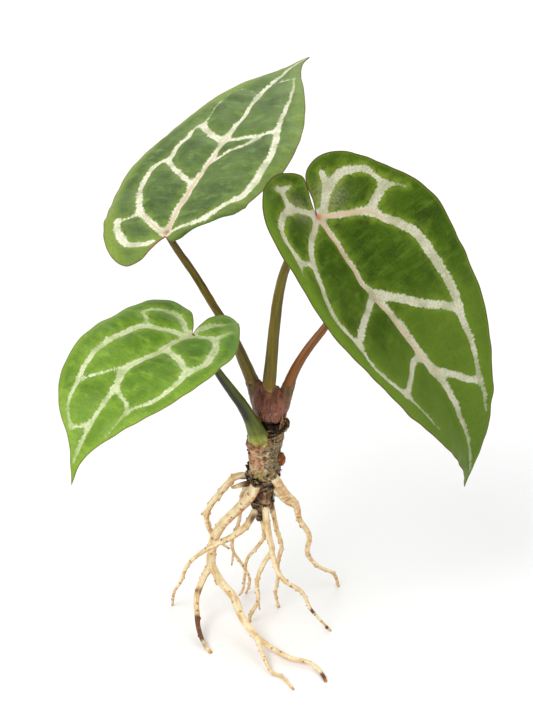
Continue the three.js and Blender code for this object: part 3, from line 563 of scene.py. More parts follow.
class Wiring:
    """Adds nodes to a shader tree. Where a node takes a value, it may be given another's output."""

    def __init__(self, tree):
        self.tree = tree

    def add(self, kind, inputs=(), out=0, **settings):
        """Adds a node with these inputs and settings, and returns one of its outputs."""
        node = self.tree.nodes.new(kind)
        for key, value in settings.items():
            setattr(node, key, value)
        for key, value in dict(inputs).items():
            self.plug(node.inputs[key], value)
        return node.outputs[out]

    def plug(self, socket, value):
        """Links an output to a socket, or sets the socket's plain value."""
        if isinstance(value, bpy.types.NodeSocket):
            self.tree.links.new(value, socket)
        else:
            socket.default_value = value

    def group(self, tree, **inputs):
        """A shared effect, with its inputs by name."""
        named = {key.replace("_", " "): value for key, value in inputs.items()}
        return self.add("ShaderNodeGroup", named, node_tree=tree)

    def attribute(self, name, out="Fac"):
        """What the mesh stores at its vertices under a name."""
        return self.add("ShaderNodeAttribute", out=out, attribute_name=name)

    def maths(self, operation, first, second=0.0):
        """One sum of two numbers, by the node's own name for it."""
        return self.add("ShaderNodeMath", {0: first, 1: second}, operation=operation)

    def times(self, first, second):
        """The product of two numbers."""
        return self.maths("MULTIPLY", first, second)

    def plus(self, first, second):
        """Two numbers added up."""
        return self.maths("ADD", first, second)

    def minus(self, first, second):
        """The first number less the second."""
        return self.maths("SUBTRACT", first, second)

    def band(self, value, low, high, to_low=0.0, to_high=1.0):
        """A value's way from low to high, as a soft step from to_low to to_high."""
        inputs = {0: value, 1: low, 2: high, 3: to_low, 4: to_high}
        return self.add("ShaderNodeMapRange", inputs, interpolation_type="SMOOTHSTEP")

    def mix(self, share, first, second, strength=None):
        """The first colour with a share of the second one laid over it, at some strength."""
        inputs = {0: share if strength is None else self.times(share, strength), 6: first, 7: second}
        return self.add("ShaderNodeMix", inputs, out=2, data_type="RGBA")

    def stretch(self, vector, sizes):
        """A place scaled along each axis."""
        return self.add("ShaderNodeVectorMath", {0: vector, 1: sizes}, operation="MULTIPLY")

    def noise(self, vector, scale, detail=3.0, roughness=0.55):
        """Soft noise from 0 to 1 over a place."""
        inputs = {"Vector": vector, "Scale": scale, "Detail": detail, "Roughness": roughness}
        return self.add("ShaderNodeTexNoise", inputs)

    def clouds(self, place, scale, low, high, detail=3.0, roughness=0.55):
        """Noise over a place, as a soft step from 0 where it is low to 1 where it is high."""
        return self.band(self.noise(place, scale, detail, roughness), low, high)

    def bump(self, height, strength, distance):
        """A normal that leans with a height."""
        inputs = {"Height": height, "Strength": strength, "Distance": distance}
        return self.add("ShaderNodeBump", inputs)


def start_group(name, inputs, output):
    """A new shader node group with named sockets. Returns it, its wiring, its inputs and its end."""
    tree = bpy.data.node_groups.new(name, "ShaderNodeTree")
    for label, (kind, value) in inputs.items():
        socket = tree.interface.new_socket(label, in_out="INPUT", socket_type="NodeSocket" + kind)
        if value is not None:
            socket.default_value = value
    tree.interface.new_socket(output[0], in_out="OUTPUT", socket_type="NodeSocket" + output[1])
    entry = tree.nodes.new("NodeGroupInput")
    end = tree.nodes.new("NodeGroupOutput")
    return tree, Wiring(tree), entry.outputs, end.inputs[0]


def mottle_group():
    """Two colours that drift into each other over a surface."""
    sockets = {
        "Place": ("Vector", None), "Scale": ("Float", 0.2), "First": ("Color", paint(60, 90, 20)),
        "Second": ("Color", paint(80, 110, 40)), "Low": ("Float", 0.35), "High": ("Float", 0.65),
    }
    tree, w, given, end = start_group("Mottle", sockets, ("Color", "Color"))
    cloud = w.noise(given["Place"], given["Scale"], 4)
    share = w.band(cloud, given["Low"], given["High"])
    w.plug(end, w.mix(share, given["First"], given["Second"]))
    return tree


def feather_group():
    """A band round a line whose edge is frayed by short strokes that run straight out from it."""
    sockets = {
        "Edge": ("Float", 1), "Foot": ("Vector", None), "Place": ("Vector", None),
        "Reach": ("Float", 0.8), "Softness": ("Float", 0.15),
    }
    tree, w, given, end = start_group("Feathered band", sockets, ("Mask", "Float"))
    strokes = w.noise(given["Foot"], 1.3, 4, 0.75)
    crumbs = w.noise(given["Place"], 1.1, 4, 0.75)
    swell = w.noise(given["Place"], 0.3, 1)
    fray = w.plus(w.times(strokes, 0.45), w.times(crumbs, 0.35))
    fray = w.plus(fray, w.times(swell, 0.2))
    shift = w.times(w.minus(fray, 0.5), w.times(given["Reach"], 4))
    distance = w.plus(given["Edge"], shift)
    low = w.times(given["Softness"], -1)
    inside = w.band(distance, low, given["Softness"])
    w.plug(end, w.minus(1, inside))
    return tree


def fleck_group():
    """Small scattered spots with ragged edges."""
    sockets = {"Place": ("Vector", None), "Scale": ("Float", 0.5), "Amount": ("Float", 0.3)}
    tree, w, given, end = start_group("Flecks", sockets, ("Mask", "Float"))
    cells = w.noise(given["Place"], given["Scale"], 5, 0.75)
    start = w.minus(1, given["Amount"])
    w.plug(end, w.band(cells, start, w.plus(start, 0.05)))
    return tree


def grain_group():
    """The height of a fine, uneven skin."""
    sockets = {"Place": ("Vector", None), "Scale": ("Float", 2), "Coarse share": ("Float", 0.5)}
    tree, w, given, end = start_group("Skin grain", sockets, ("Height", "Float"))
    fine = w.noise(given["Place"], w.times(given["Scale"], 3), 3, 0.6)
    coarse = w.noise(given["Place"], given["Scale"], 3, 0.6)
    inputs = {0: given["Coarse share"], 2: fine, 3: coarse}
    w.plug(end, w.add("ShaderNodeMix", inputs, data_type="FLOAT"))
    return tree


def line_group():
    """Fine wandering lines, like fibres, that run the way that their place is stretched."""
    sockets = {"Place": ("Vector", None), "Scale": ("Float", 1), "Width": ("Float", 0.03)}
    tree, w, given, end = start_group("Thin lines", sockets, ("Mask", "Float"))
    cloud = w.noise(given["Place"], given["Scale"], 3, 0.6)
    off = w.maths("ABSOLUTE", w.minus(cloud, 0.5))
    w.plug(end, w.band(off, 0, given["Width"], 1, 0))
    return tree


GROUPS = {}


def shared(name):
    """A shared effect, built the first time that a material asks for it."""
    makers = {"mottle": mottle_group, "feather": feather_group, "flecks": fleck_group,
              "grain": grain_group, "lines": line_group}
    if name not in GROUPS:
        GROUPS[name] = makers[name]()
    return GROUPS[name]


def start_material(name, **fixed):
    """A new material, its wiring and its Principled shader, with the shader's plain values set."""
    material = bpy.data.materials.new(name)
    material.use_nodes = True
    shader = material.node_tree.nodes["Principled BSDF"]
    for key, value in fixed.items():
        shader.inputs[key.replace("_", " ")].default_value = value
    return material, Wiring(material.node_tree), shader


def mottled(w, place, scale, first, second, low=0.35, high=0.65):
    """Two colours that drift into each other where the noise runs from low to high."""
    inputs = {"Place": place, "Scale": scale, "First": first, "Second": second, "Low": low, "High": high}
    return w.group(shared("mottle"), **inputs)


def dress(w, shader, colour, gloss, grain):
    """Plugs in a colour, a roughness that drifts between two values, and the relief of a fine grain."""
    place, scale, low, high = gloss
    w.plug(shader.inputs["Base Color"], colour)
    w.plug(shader.inputs["Roughness"], w.band(w.noise(place, scale), *NOISE_SPAN, low, high))
    place, scale, coarse, strength, distance = grain
    height = w.group(shared("grain"), Place=place, Scale=scale, Coarse_share=coarse)
    w.plug(shader.inputs["Normal"], w.bump(height, strength, distance))


# How each blade is coloured: its flesh in the shade and in the light, the glow beside the veins,
# its pale margin, its veins, their middle lines and the line along its edge.
LOOKS = {
    "right": {
        "deep": paint(32, 54, 0), "flesh": paint(52, 79, 2), "light": paint(96, 121, 36),
        "glow": paint(130, 152, 44), "margin": paint(104, 132, 38), "vein": paint(200, 199, 176),
        "vein_shade": paint(154, 160, 126), "line": paint(204, 166, 138), "heart": paint(166, 96, 82),
        "rim": paint(84, 48, 28), "haze": paint(146, 142, 112), "under": paint(126, 150, 92),
        "gloss": 0.08, "roughness": 0.55, "fray": 1.1, "fade": 0.9, "tufts": 0.5,
    },
    "top": {
        "deep": paint(50, 72, 32), "flesh": paint(78, 102, 48), "light": paint(118, 143, 72),
        "glow": paint(132, 156, 58), "margin": paint(138, 160, 60), "vein": paint(236, 233, 212),
        "vein_shade": paint(190, 198, 152), "line": paint(212, 184, 156), "heart": paint(154, 98, 74),
        "rim": paint(100, 80, 36), "haze": paint(96, 120, 60), "under": paint(136, 156, 106),
        "gloss": 0.25, "roughness": 0.45, "fray": 1.2, "fade": 0.85, "tufts": 0.8,
    },
    "left": {
        "deep": paint(58, 96, 8), "flesh": paint(84, 122, 20), "light": paint(134, 168, 56),
        "glow": paint(154, 184, 74), "margin": paint(140, 172, 58), "vein": paint(217, 221, 184),
        "vein_shade": paint(174, 196, 116), "line": paint(184, 182, 134), "heart": paint(176, 150, 96),
        "rim": paint(108, 110, 40), "haze": paint(78, 130, 14), "under": paint(146, 172, 96),
        "gloss": 0.22, "roughness": 0.45, "fray": 1.25, "fade": 0.8, "tufts": 0.9,
    },
}


def blade_flesh(w, look, place, edge, speckle):
    """A blade's colour between its veins: marbled, speckled, and lighter beside them."""
    marble = w.stretch(place, (1, 0.5, 1))
    flesh = mottled(w, place, 0.12, look["deep"], look["flesh"], 0.32, 0.62)
    flesh = w.mix(w.clouds(marble, 0.2, 0.5, 0.68, 5, 0.62), flesh, look["light"], look["tufts"])
    flesh = w.mix(w.clouds(marble, 0.5, 0.52, 0.66, 5, 0.7), flesh, look["deep"], 0.6 * look["tufts"])
    flesh = w.mix(w.attribute("lightness"), flesh, look["light"], 0.8)
    beside = w.times(w.band(edge, 0, 5, 0.4, 0), w.clouds(place, 0.3, 0.42, 0.66, 4))
    flesh = w.mix(beside, flesh, look["light"])
    flesh = w.mix(w.attribute("pale_margin"), flesh, look["margin"])
    glow = w.times(w.attribute("glow"), w.clouds(place, 0.5, 0.3, 0.6, 4, 0.7))
    flesh = w.mix(glow, flesh, look["glow"])
    pores = w.clouds(place, 1, 0.5, 0.62, 3, 0.8)
    flesh = w.mix(pores, flesh, look["deep"], 0.4 * look["tufts"])
    flesh = w.mix(speckle, flesh, look["light"], 0.3)
    side_veins = w.clouds(w.stretch(place, (1, 0.2, 1)), 0.4, 0.52, 0.68, 4, 0.6)
    flesh = w.mix(side_veins, flesh, look["light"], 0.3)
    haze = w.times(w.attribute("haze"), w.clouds(place, 1.1, 0.34, 0.64, 4, 0.7))
    return w.mix(haze, flesh, look["haze"])


def with_veins(w, look, place, foot, flesh, band):
    """A blade's flesh with its silvery veins over it, more or less strong from place to place."""
    silver = mottled(w, place, 1.9, look["vein_shade"], look["vein"], 0.32, 0.54)
    silver = w.mix(w.clouds(foot, 3.4, 0.5, 0.62, 2, 0.6), silver, look["vein_shade"], 0.4)
    fade = w.band(w.noise(place, 0.16, 3), 0.36, 0.56, look["fade"] - 0.25, 1)
    fade = w.times(fade, w.attribute("vein_strength"))
    return w.mix(w.times(band, fade), flesh, silver)


def with_middle_lines(w, look, place, edge, colour):
    """A blade's colour with the line along each vein's middle: pink near the heart, then a furrow."""
    side = w.maths("ABSOLUTE", w.attribute("vein_side"))
    near = w.band(w.attribute("vein_far"), 1.2, 1.8, 1, 0)
    pink = w.attribute("pink")
    frayed = w.plus(side, w.times(w.minus(w.noise(place, 1.8), 0.5), 0.8))
    width = w.plus(0.3, w.times(pink, 0.75))
    line = w.band(frayed, w.times(width, 0.1), width, 0.75, 0)
    line = w.times(w.times(line, near), w.band(pink, 0.02, 0.6))
    colour = w.mix(line, colour, look["line"])
    furrow = w.times(w.band(side, 0.05, 0.22, 0.5, 0), near)
    return w.mix(w.times(furrow, w.band(edge, -1.1, -0.4, 1, 0)), colour, look["line"])


def blade_material(which, look):
    """The upper face of a leaf."""
    velvet = bpy.context.scene.plant_leaves.velvet if which == "right" else 0
    fixed = {"Specular_IOR_Level": look["gloss"], "Sheen_Weight": velvet, "Sheen_Tint": look["light"]}
    material, w, shader = start_material(f"{which}_blade_upper", **fixed)
    place = w.attribute("leaf_place", "Vector")
    foot = w.attribute("vein_foot", "Vector")
    edge = w.attribute("vein_edge")
    speckle = w.clouds(place, 2.2, 0.38, 0.68, 3, 0.7)
    feather = {"Edge": edge, "Foot": foot, "Place": place, "Reach": look["fray"], "Softness": 0.2}
    band = w.group(shared("feather"), **feather)
    flesh = blade_flesh(w, look, place, edge, speckle)
    colour = with_veins(w, look, place, foot, flesh, band)
    colour = with_middle_lines(w, look, place, edge, colour)
    colour = w.mix(w.attribute("heart"), colour, look["heart"])
    flecks = w.group(shared("flecks"), Place=place, Scale=0.8, Amount=0.27)
    colour = w.mix(flecks, colour, look["vein"], 0.5)
    rim = w.band(w.attribute("margin"), 0.12, 0.5, 1, 0)
    colour = w.mix(rim, colour, look["rim"], 0.85)
    w.plug(shader.inputs["Base Color"], colour)
    gloss = w.plus(look["roughness"], w.times(band, 0.1))
    w.plug(shader.inputs["Roughness"], w.plus(gloss, w.times(speckle, 0.08)))
    skin = w.group(shared("grain"), Place=place, Scale=1.3, Coarse_share=0.55)
    height = w.plus(skin, w.times(band, -0.5))
    w.plug(shader.inputs["Normal"], w.bump(height, 0.35, 0.00025))
    return material


def under_material(which, look):
    """The under face of a leaf: paler, matt, with its veins raised."""
    material, w, shader = start_material(f"{which}_blade_under", IOR=1.4)
    place = w.attribute("leaf_place", "Vector")
    flesh = mottled(w, place, 0.2, look["under"], look["light"], 0.3, 0.8)
    net = w.clouds(place, 0.7, 0.4, 0.6, 4, 0.7)
    flesh = w.mix(net, flesh, look["flesh"], 0.3)
    rib = w.band(w.attribute("vein_edge"), -0.5, 0.5, 0.75, 0)
    colour = w.mix(rib, flesh, look["glow"])
    colour = w.mix(w.times(w.attribute("pink"), w.band(rib, 0.3, 0.7)), colour, look["heart"])
    w.plug(shader.inputs["Base Color"], colour)
    w.plug(shader.inputs["Roughness"], w.band(net, 0, 1, 0.55, 0.68))
    skin = w.group(shared("grain"), Place=place, Scale=1.1, Coarse_share=0.6)
    w.plug(shader.inputs["Normal"], w.bump(skin, 0.4, 0.0003))
    return material


def rim_material(which, look):
    """The thin cut-like edge round a leaf."""
    material, w, shader = start_material(f"{which}_blade_rim", IOR=1.4)
    place = w.attribute("leaf_place", "Vector")
    w.plug(shader.inputs["Base Color"], mottled(w, place, 0.3, look["rim"], look["margin"], 0.4, 0.75))
    w.plug(shader.inputs["Roughness"], w.band(w.noise(place, 0.8), 0.3, 0.7, 0.5, 0.65))
    return material


def crowded(share, even, power):
    """An even share of a row, drawn towards its start."""
    return even * share + (1 - even) * share**power


def midrib(leaf, along):
    """The midrib's place, forward, side and normal at distances along it, in the leaf's frame."""
    length = leaf["length"]
    table = np.linspace(-0.5 * length, length, 700)
    share = table / length
    pitch = np.radians(leaf["droop"][0] * share + leaf["droop"][1] * share * np.abs(share))
    turn = np.radians(leaf["swerve"] * share)
    forward = np.stack([np.cos(pitch) * np.cos(turn), np.cos(pitch) * np.sin(turn), -np.sin(pitch)], -1)
    step = table[1] - table[0]
    place = np.vstack([np.zeros(3), np.cumsum((forward[1:] + forward[:-1]) / 2 * step, axis=0)])
    place -= [np.interp(0, table, column) for column in place.T]
    side = np.stack([-np.sin(turn), np.cos(turn), 0 * turn], -1)
    columns = np.hstack([place, forward, side, np.cross(forward, side)]).T
    found = np.stack([np.interp(along, table, column) for column in columns], -1)
    return np.split(found, 4, axis=-1)


def blade_surface(leaf, along, across):
    """Points of a blade's middle surface in the leaf's own frame."""
    place, _, side, normal = midrib(leaf, along)
    share = np.clip(along / leaf["length"], 0, 1)
    folds = [base + (tip - base) * share for base, tip in leaf["fold"]]
    start = np.radians(np.where(across >= 0, *folds))
    bend = math.radians(leaf["curl"]) / leaf["half_width"]
    reach = np.sqrt(across**2 + RIB_SOFTNESS**2) - RIB_SOFTNESS
    finish = start - bend * reach
    out = (np.sin(start) - np.sin(finish)) / bend + np.abs(across) - reach
    up = (np.cos(finish) - np.cos(start)) / bend
    return place + side * (np.sign(across) * out)[..., None] + normal * up[..., None]


def rolled_surface(leaf, half, along, across):
    """The surface and its upward direction, with the lobe past a leaf's tuck line rolled under it."""
    _, forward, side, normal = midrib(leaf, along)
    tuck = leaf.get("tuck")
    if not tuck or half == 0:
        return blade_surface(leaf, along, across), normal
    line_x, line_y = tuck["line"]
    past = (along - tuck["place"][0]) * line_y - (across - tuck["place"][1]) * line_x
    past = np.maximum(past, 0)
    rolled = np.minimum(past / tuck["radius"], math.radians(tuck["angle"]))
    rest = past - rolled * tuck["radius"]
    back = tuck["radius"] * np.sin(rolled) + rest * np.cos(rolled) - past
    under = tuck["radius"] * (1 - np.cos(rolled)) + rest * np.sin(rolled)
    point = blade_surface(leaf, along + back * line_y, across - back * line_x)
    point = point - normal * under[..., None]
    lean = forward * line_y - side * line_x
    return point, normal * np.cos(rolled)[..., None] + lean * np.sin(rolled)[..., None]


def leaf_matrix(leaf):
    """Turns and scales the leaf's own frame to its junction, tip and facing on the plant."""
    tip_here = blade_surface(leaf, np.array(leaf["length"]), np.array(0.0))
    junction = np.array(leaf["junction"], float)
    chord = np.array(leaf["tip"]) - junction

    def basis(line, facing):
        """Axes along a line, with the third one towards a facing."""
        x = line / np.linalg.norm(line)
        z = facing - x * np.dot(facing, x)
        z /= np.linalg.norm(z)
        return np.stack([x, np.cross(z, x), z], -1)

    size = np.linalg.norm(chord) / np.linalg.norm(tip_here)
    turn = basis(chord, np.array(leaf["face"], float)) @ basis(tip_here, np.array([0, 0, 1.0])).T
    return size * turn, junction


def blade_grid(leaf):
    """(along, across, half, out, share) of every point, one row after the next, round the leaf."""
    rows, columns = leaf["size"]
    share = np.linspace(0, 1, rows + 1)
    halves = []
    for half, outline in enumerate(leaf["outlines"]):
        line = smooth_line(outline, 0.2)
        run = np.linspace(0, 1, len(line))
        spread = crowded(share, *EDGE_CROWDING)
        edge = np.stack([np.interp(spread, run, column) for column in line.T], -1)
        rib = np.stack([leaf["length"] * crowded(share, *RIB_CROWDING), 0 * share], -1)
        side = 1 if half == 0 else -1
        bent = np.stack([rib[:, 0], side * NOTCH_BEND * np.linalg.norm(edge, axis=1)], -1)
        straight = smoothstep(share, *STRAIGHTENING)[:, None]
        straight[0] = 1
        control = bent + ((rib + edge) / 2 - bent) * straight
        out = np.linspace(0, 1, columns + 1)[None, :, None]
        flat = (1 - out) ** 2 * rib[:, None] + out**2 * edge[:, None]
        flat += 2 * out * (1 - out) * control[:, None]
        ones = np.ones((rows + 1, columns + 1))
        halves.append(np.dstack([flat, half * ones, out[..., 0] * ones, share[:, None] * ones]))
    return np.vstack([halves[0], halves[1][::-1]])


def vein_fields(which, flat):
    """For every point of a blade, by the names of its layers: where the nearest vein runs, how far
    off its edge and its middle are, and how pink and how strong it is there."""
    points = flat.reshape(-1, 2)
    best = np.full(len(points), FAR)
    blended = np.full(len(points), FAR)
    fields = {
        "vein_foot": np.zeros((len(points), 3)), "vein_side": np.full(len(points), 9.0),
        "vein_far": np.full(len(points), FAR), "pink": np.zeros(len(points)),
        "vein_strength": np.ones(len(points)),
    }
    for widths, pink_until, places in VEINS[which]:
        line = smooth_line(places, 1.0)
        start, step = line[:-1], np.diff(line, axis=0)
        share, gap = gaps_to(points, line)
        distance = np.linalg.norm(gap, axis=-1)
        nearest = distance.argmin(1)
        pick = (np.arange(len(points)), nearest)
        run = (nearest + share[pick]) / len(step)
        half_width = np.interp(run, [0, 0.4, 1], widths)
        edge = distance[pick] - half_width
        turn = step[nearest, 0] * gap[pick][:, 1] - step[nearest, 1] * gap[pick][:, 0]
        pink = np.clip((pink_until - run) * 3, 0, 1) * (1 - 0.8 * run) if pink_until else 0 * run
        meeting = np.maximum(VEIN_WEB - np.abs(edge - blended), 0) / VEIN_WEB
        blended = np.minimum(blended, edge) - meeting**2 * VEIN_WEB / 4
        strength = np.interp(run, [0, 0.75, 1], [1, 1, 0.45 if widths[2] < 0.7 else 1])
        closer = edge < best
        best = np.where(closer, edge, best)
        foot = start[nearest] + step[nearest] * share[pick][:, None]
        values = {
            "vein_side": np.sign(turn) * distance[pick], "vein_far": distance[pick], "pink": pink,
            "vein_strength": strength,
        }
        for name, value in values.items():
            fields[name] = np.where(closer, value, fields[name])
        fields["vein_foot"][closer, :2] = foot[closer]
    fields["vein_edge"] = blended
    return fields


def edge_distance(leaf, flat):
    """How far each point of a blade lies from its outline, as distances between points."""
    points = flat.reshape(-1, 2)
    nearest = np.full(len(points), FAR)
    for outline in leaf["outlines"]:
        line = smooth_line(outline, 0.6)
        for first in range(0, len(points), CHUNK):
            part = slice(first, first + CHUNK)
            _, gap = gaps_to(points[part], line)
            nearest[part] = np.minimum(nearest[part], np.linalg.norm(gap, axis=-1).min(1))
    return nearest


def haze_round(along, across, spots):
    """A haze round a few spots of a blade, each given by its place and its reach."""
    near = [bump_at(np.hypot(along - x, across - y), reach) for x, y, reach in spots]
    return np.clip(sum(near), 0, 1)


def blade_masks(which, leaf, flat, edge, margin):
    """Where a blade is lighter, glows, is hazy or reddens."""
    along, across = flat[..., 0].ravel(), flat[..., 1].ravel()
    from_heart = np.hypot(along, across)
    noise = waves(np.stack([along, across], -1), 22, 5)
    masks = {
        "lightness": np.clip(along / leaf["length"], 0, 1) * 0.5 + 0.18 * noise,
        "glow": bump_at(np.maximum(edge, 0), 1.6) * np.exp(-np.maximum(along, 0) / 40) * 0.8,
        "pale_margin": smoothstep(-margin, -3.2, -0.8) * 0.5,
        "haze": np.zeros(len(along)),
        "heart": bump_at(from_heart, 1.2) * 0.9,
    }
    if which == "right":
        lower = smoothstep(-across, 14, 30)
        masks["pale_margin"] = smoothstep(-margin, -8, -1) * lower * 0.85
        masks["pale_margin"] += smoothstep(-margin, -1.6, -0.4) * (1 - lower) * 0.4
        masks["lightness"] = 0.95 * smoothstep(along, 25, 66) + 0.15 * noise + 0.3 * lower
        masks["haze"] = 0.85 * haze_round(along, across, [(-3.5, 7, 5), (-4.5, -7, 5)])
    if which == "top":
        upper = smoothstep(across, 4, 16)
        masks["pale_margin"] = smoothstep(-margin, -7, -1.5) * (0.35 + 0.5 * upper)
        fold = bump_at(np.hypot(along + 4.5, across - 1.5), 4.5) * smoothstep(-margin, -1.1, -0.3)
        masks["heart"] = np.maximum(masks["heart"], fold)
    if which == "left":
        masks["haze"] = 0.7 * haze_round(along, across, [(-4, 16, 6), (4, 10, 4)])
        masks["heart"] *= 0.5
    return masks


def lay_grid(name, rows, columns):
    """A flat sheet of rows and columns of points, with the row and column of every point."""
    bpy.ops.mesh.primitive_grid_add(x_subdivisions=columns, y_subdivisions=rows, size=1)
    piece = bpy.context.object
    piece.name = piece.data.name = name
    share = vectors_of(piece) + 0.5
    return piece, np.rint(share[:, 1] * rows).astype(int), np.rint(share[:, 0] * columns).astype(int)


def blade_relief(leaf, grid, edge, margin):
    """How far every point rises above the blade's surface: between the veins, and along its edge."""
    from_heart = np.hypot(grid[:, 0], grid[:, 1])
    ripple = np.sin(np.pi * grid[:, 4]) * np.sin(2 * np.pi * leaf["waves"] * grid[:, 4])
    inner = smoothstep(margin, 0, 4) * smoothstep(from_heart, 1, 8)
    quilt = 0.75 * (1 - np.exp(-np.maximum(edge, 0) / 2.6)) * inner
    sunk = -0.22 * bump_at(np.maximum(edge + 0.6, 0), 0.6) * inner
    uneven = 0.28 * waves(grid[:, :2], 9, 11) * smoothstep(from_heart, 2, 14)
    return MARGIN_WAVE * grid[:, 3] ** 2 * ripple + quilt + sunk + uneven + 0.05


def weigh_thickness(piece, leaf, flat, edge, margin):
    """Stores how thick the blade is at every point: most at its rib and veins, least at its edge."""
    rib = bump_at(flat[:, 1], 1.6) * (flat[:, 0] > -1)
    rib *= np.clip(1.15 - flat[:, 0] / leaf["length"], 0, 1)
    weight = 0.3 + 0.5 * rib + 0.28 * bump_at(np.maximum(edge + 0.3, 0), 0.9)
    weight = np.clip(weight * smoothstep(margin, -1.2, 1.4), 0.12, 1).round(2)
    group = piece.vertex_groups.new(name="thickness")
    for level in np.unique(weight):
        group.add(np.flatnonzero(weight == level).tolist(), float(level), "REPLACE")


def add_blade(which):
    """One open leaf: a grid laid on the leaf's surface, then given its veins and its thickness."""
    leaf, look = LEAVES[which], LOOKS[which]
    grid = blade_grid(leaf)
    piece, row, column = lay_grid(f"{which}_leaf_blade", grid.shape[0] - 1, grid.shape[1] - 1)
    grid = grid[row, column]
    flat = grid[:, :2]
    fields = vein_fields(which, flat)
    edge = fields["vein_edge"]
    margin = edge_distance(leaf, flat)
    points = np.zeros((len(grid), 3))
    upward = np.zeros((len(grid), 3))
    for half in (0, 1):
        mine = grid[:, 2] == half
        points[mine], upward[mine] = rolled_surface(leaf, half, flat[mine, 0], flat[mine, 1])
    points = points + upward * blade_relief(leaf, grid, edge, margin)[:, None]
    turn, junction = leaf_matrix(leaf)
    put_places(piece, points @ turn.T + junction)
    masks = blade_masks(which, leaf, flat, edge, margin)
    masks = {name: np.clip(mask, 0, 1) for name, mask in masks.items()}
    put(piece, leaf_place=np.column_stack([flat, np.zeros(len(flat))]), margin=margin, **fields, **masks)
    weigh_thickness(piece, leaf, flat, edge, margin)
    edit(piece, (bpy.ops.mesh.remove_doubles, {"threshold": MERGE_WITHIN * MM}))
    facing = normals_of(piece).mean(0) @ (turn @ np.array([0, 0, 1.0]))
    if facing < 0:
        edit(piece, (bpy.ops.mesh.flip_normals, {}))
    for maker in (blade_material, under_material, rim_material):
        piece.data.materials.append(maker(which, look))
    modify(
        piece, "SOLIDIFY", thickness=BLADE_THICKNESS * MM, offset=-1, vertex_group="thickness",
        use_rim=True, material_offset=1, material_offset_rim=2)
    piece.vertex_groups.clear()
    settle(piece, leaf["node"], leaf["slot"], angle=50)


def rounded_ends(line, tail=True, head=True):
    """Draws a line's radius in towards its ends, so that a tube along it closes in a dome."""
    line = line.copy()
    run = run_along(line)
    for wanted, distance in ((head, run), (tail, run[-1] - run)):
        if wanted:
            near = np.clip(distance / line[:, 3], 0, 1)
            line[:, 3] *= np.sqrt(np.maximum(1 - (1 - near) ** 2, 0.01))
    return line


def add_tube(name, line, turns=10):
    """A closed tube of changing radius along a line of (x, y, z, radius) points."""
    deselect()
    bpy.ops.curve.primitive_nurbs_path_add()
    curve = bpy.context.object
    data = curve.data
    data.splines.clear()
    spline = data.splines.new("POLY")
    spline.points.add(len(line) - 1)
    places = (line[:, :3] + SHIFT) * MM
    spline.points.foreach_set("co", np.column_stack([places, np.ones(len(line))]).ravel())
    spline.points.foreach_set("radius", line[:, 3] * MM)
    data.bevel_depth = 1
    data.bevel_resolution = turns
    data.use_fill_caps = True
    bpy.ops.object.convert(target="MESH")
    piece = bpy.context.object
    piece.name = piece.data.name = name
    return piece


def join(name, pieces):
    """Makes several meshes one, with a name."""
    deselect()
    for piece in pieces:
        piece.select_set(True)
    bpy.context.view_layer.objects.active = pieces[0]
    bpy.ops.object.join()
    joined = bpy.context.object
    joined.name = joined.data.name = name
    return joined


def line_frames(line):
    """Two directions square to a line at each of its points, carried along it without twist."""
    tangent = np.gradient(line[:, :3], axis=0)
    tangent /= np.linalg.norm(tangent, axis=1, keepdims=True)
    first = np.cross(tangent[0], (0, 1, 0) if abs(tangent[0][1]) < 0.9 else (1, 0, 0))
    firsts = []
    for direction in tangent:
        first = first - direction * np.dot(first, direction)
        first = first / np.linalg.norm(first)
        firsts.append(first)
    firsts = np.array(firsts)
    return tangent, firsts, np.cross(tangent, firsts)


def straighten(points, lines):
    """Where points lie on a bundle of lines, as if each were straight: across, across and along,
    with the distance to that line's end, the line's number and its radius there."""
    best = np.full(len(points), np.inf)
    found = np.zeros((len(points), 6))
    for number, line in enumerate(lines):
        tangent, first, second = line_frames(line)
        run = run_along(line)
        for start in range(0, len(points), CHUNK):
            part = slice(start, start + CHUNK)
            gap = points[part, None] - line[None, :, :3]
            distance = np.linalg.norm(gap, axis=-1) - line[None, :, 3]
            nearest = distance.argmin(1)
            gap = gap[np.arange(len(nearest)), nearest]
            reach = distance.min(1)
            along = run[nearest] + (gap * tangent[nearest]).sum(1)
            values = np.column_stack([
                (gap * first[nearest]).sum(1), (gap * second[nearest]).sum(1), along,
                run[-1] - along, np.full(len(nearest), number), line[nearest, 3]])
            closer = reach < best[part]
            found[part] = np.where(closer[:, None], values, found[part])
            best[part] = np.where(closer, reach, best[part])
    return found


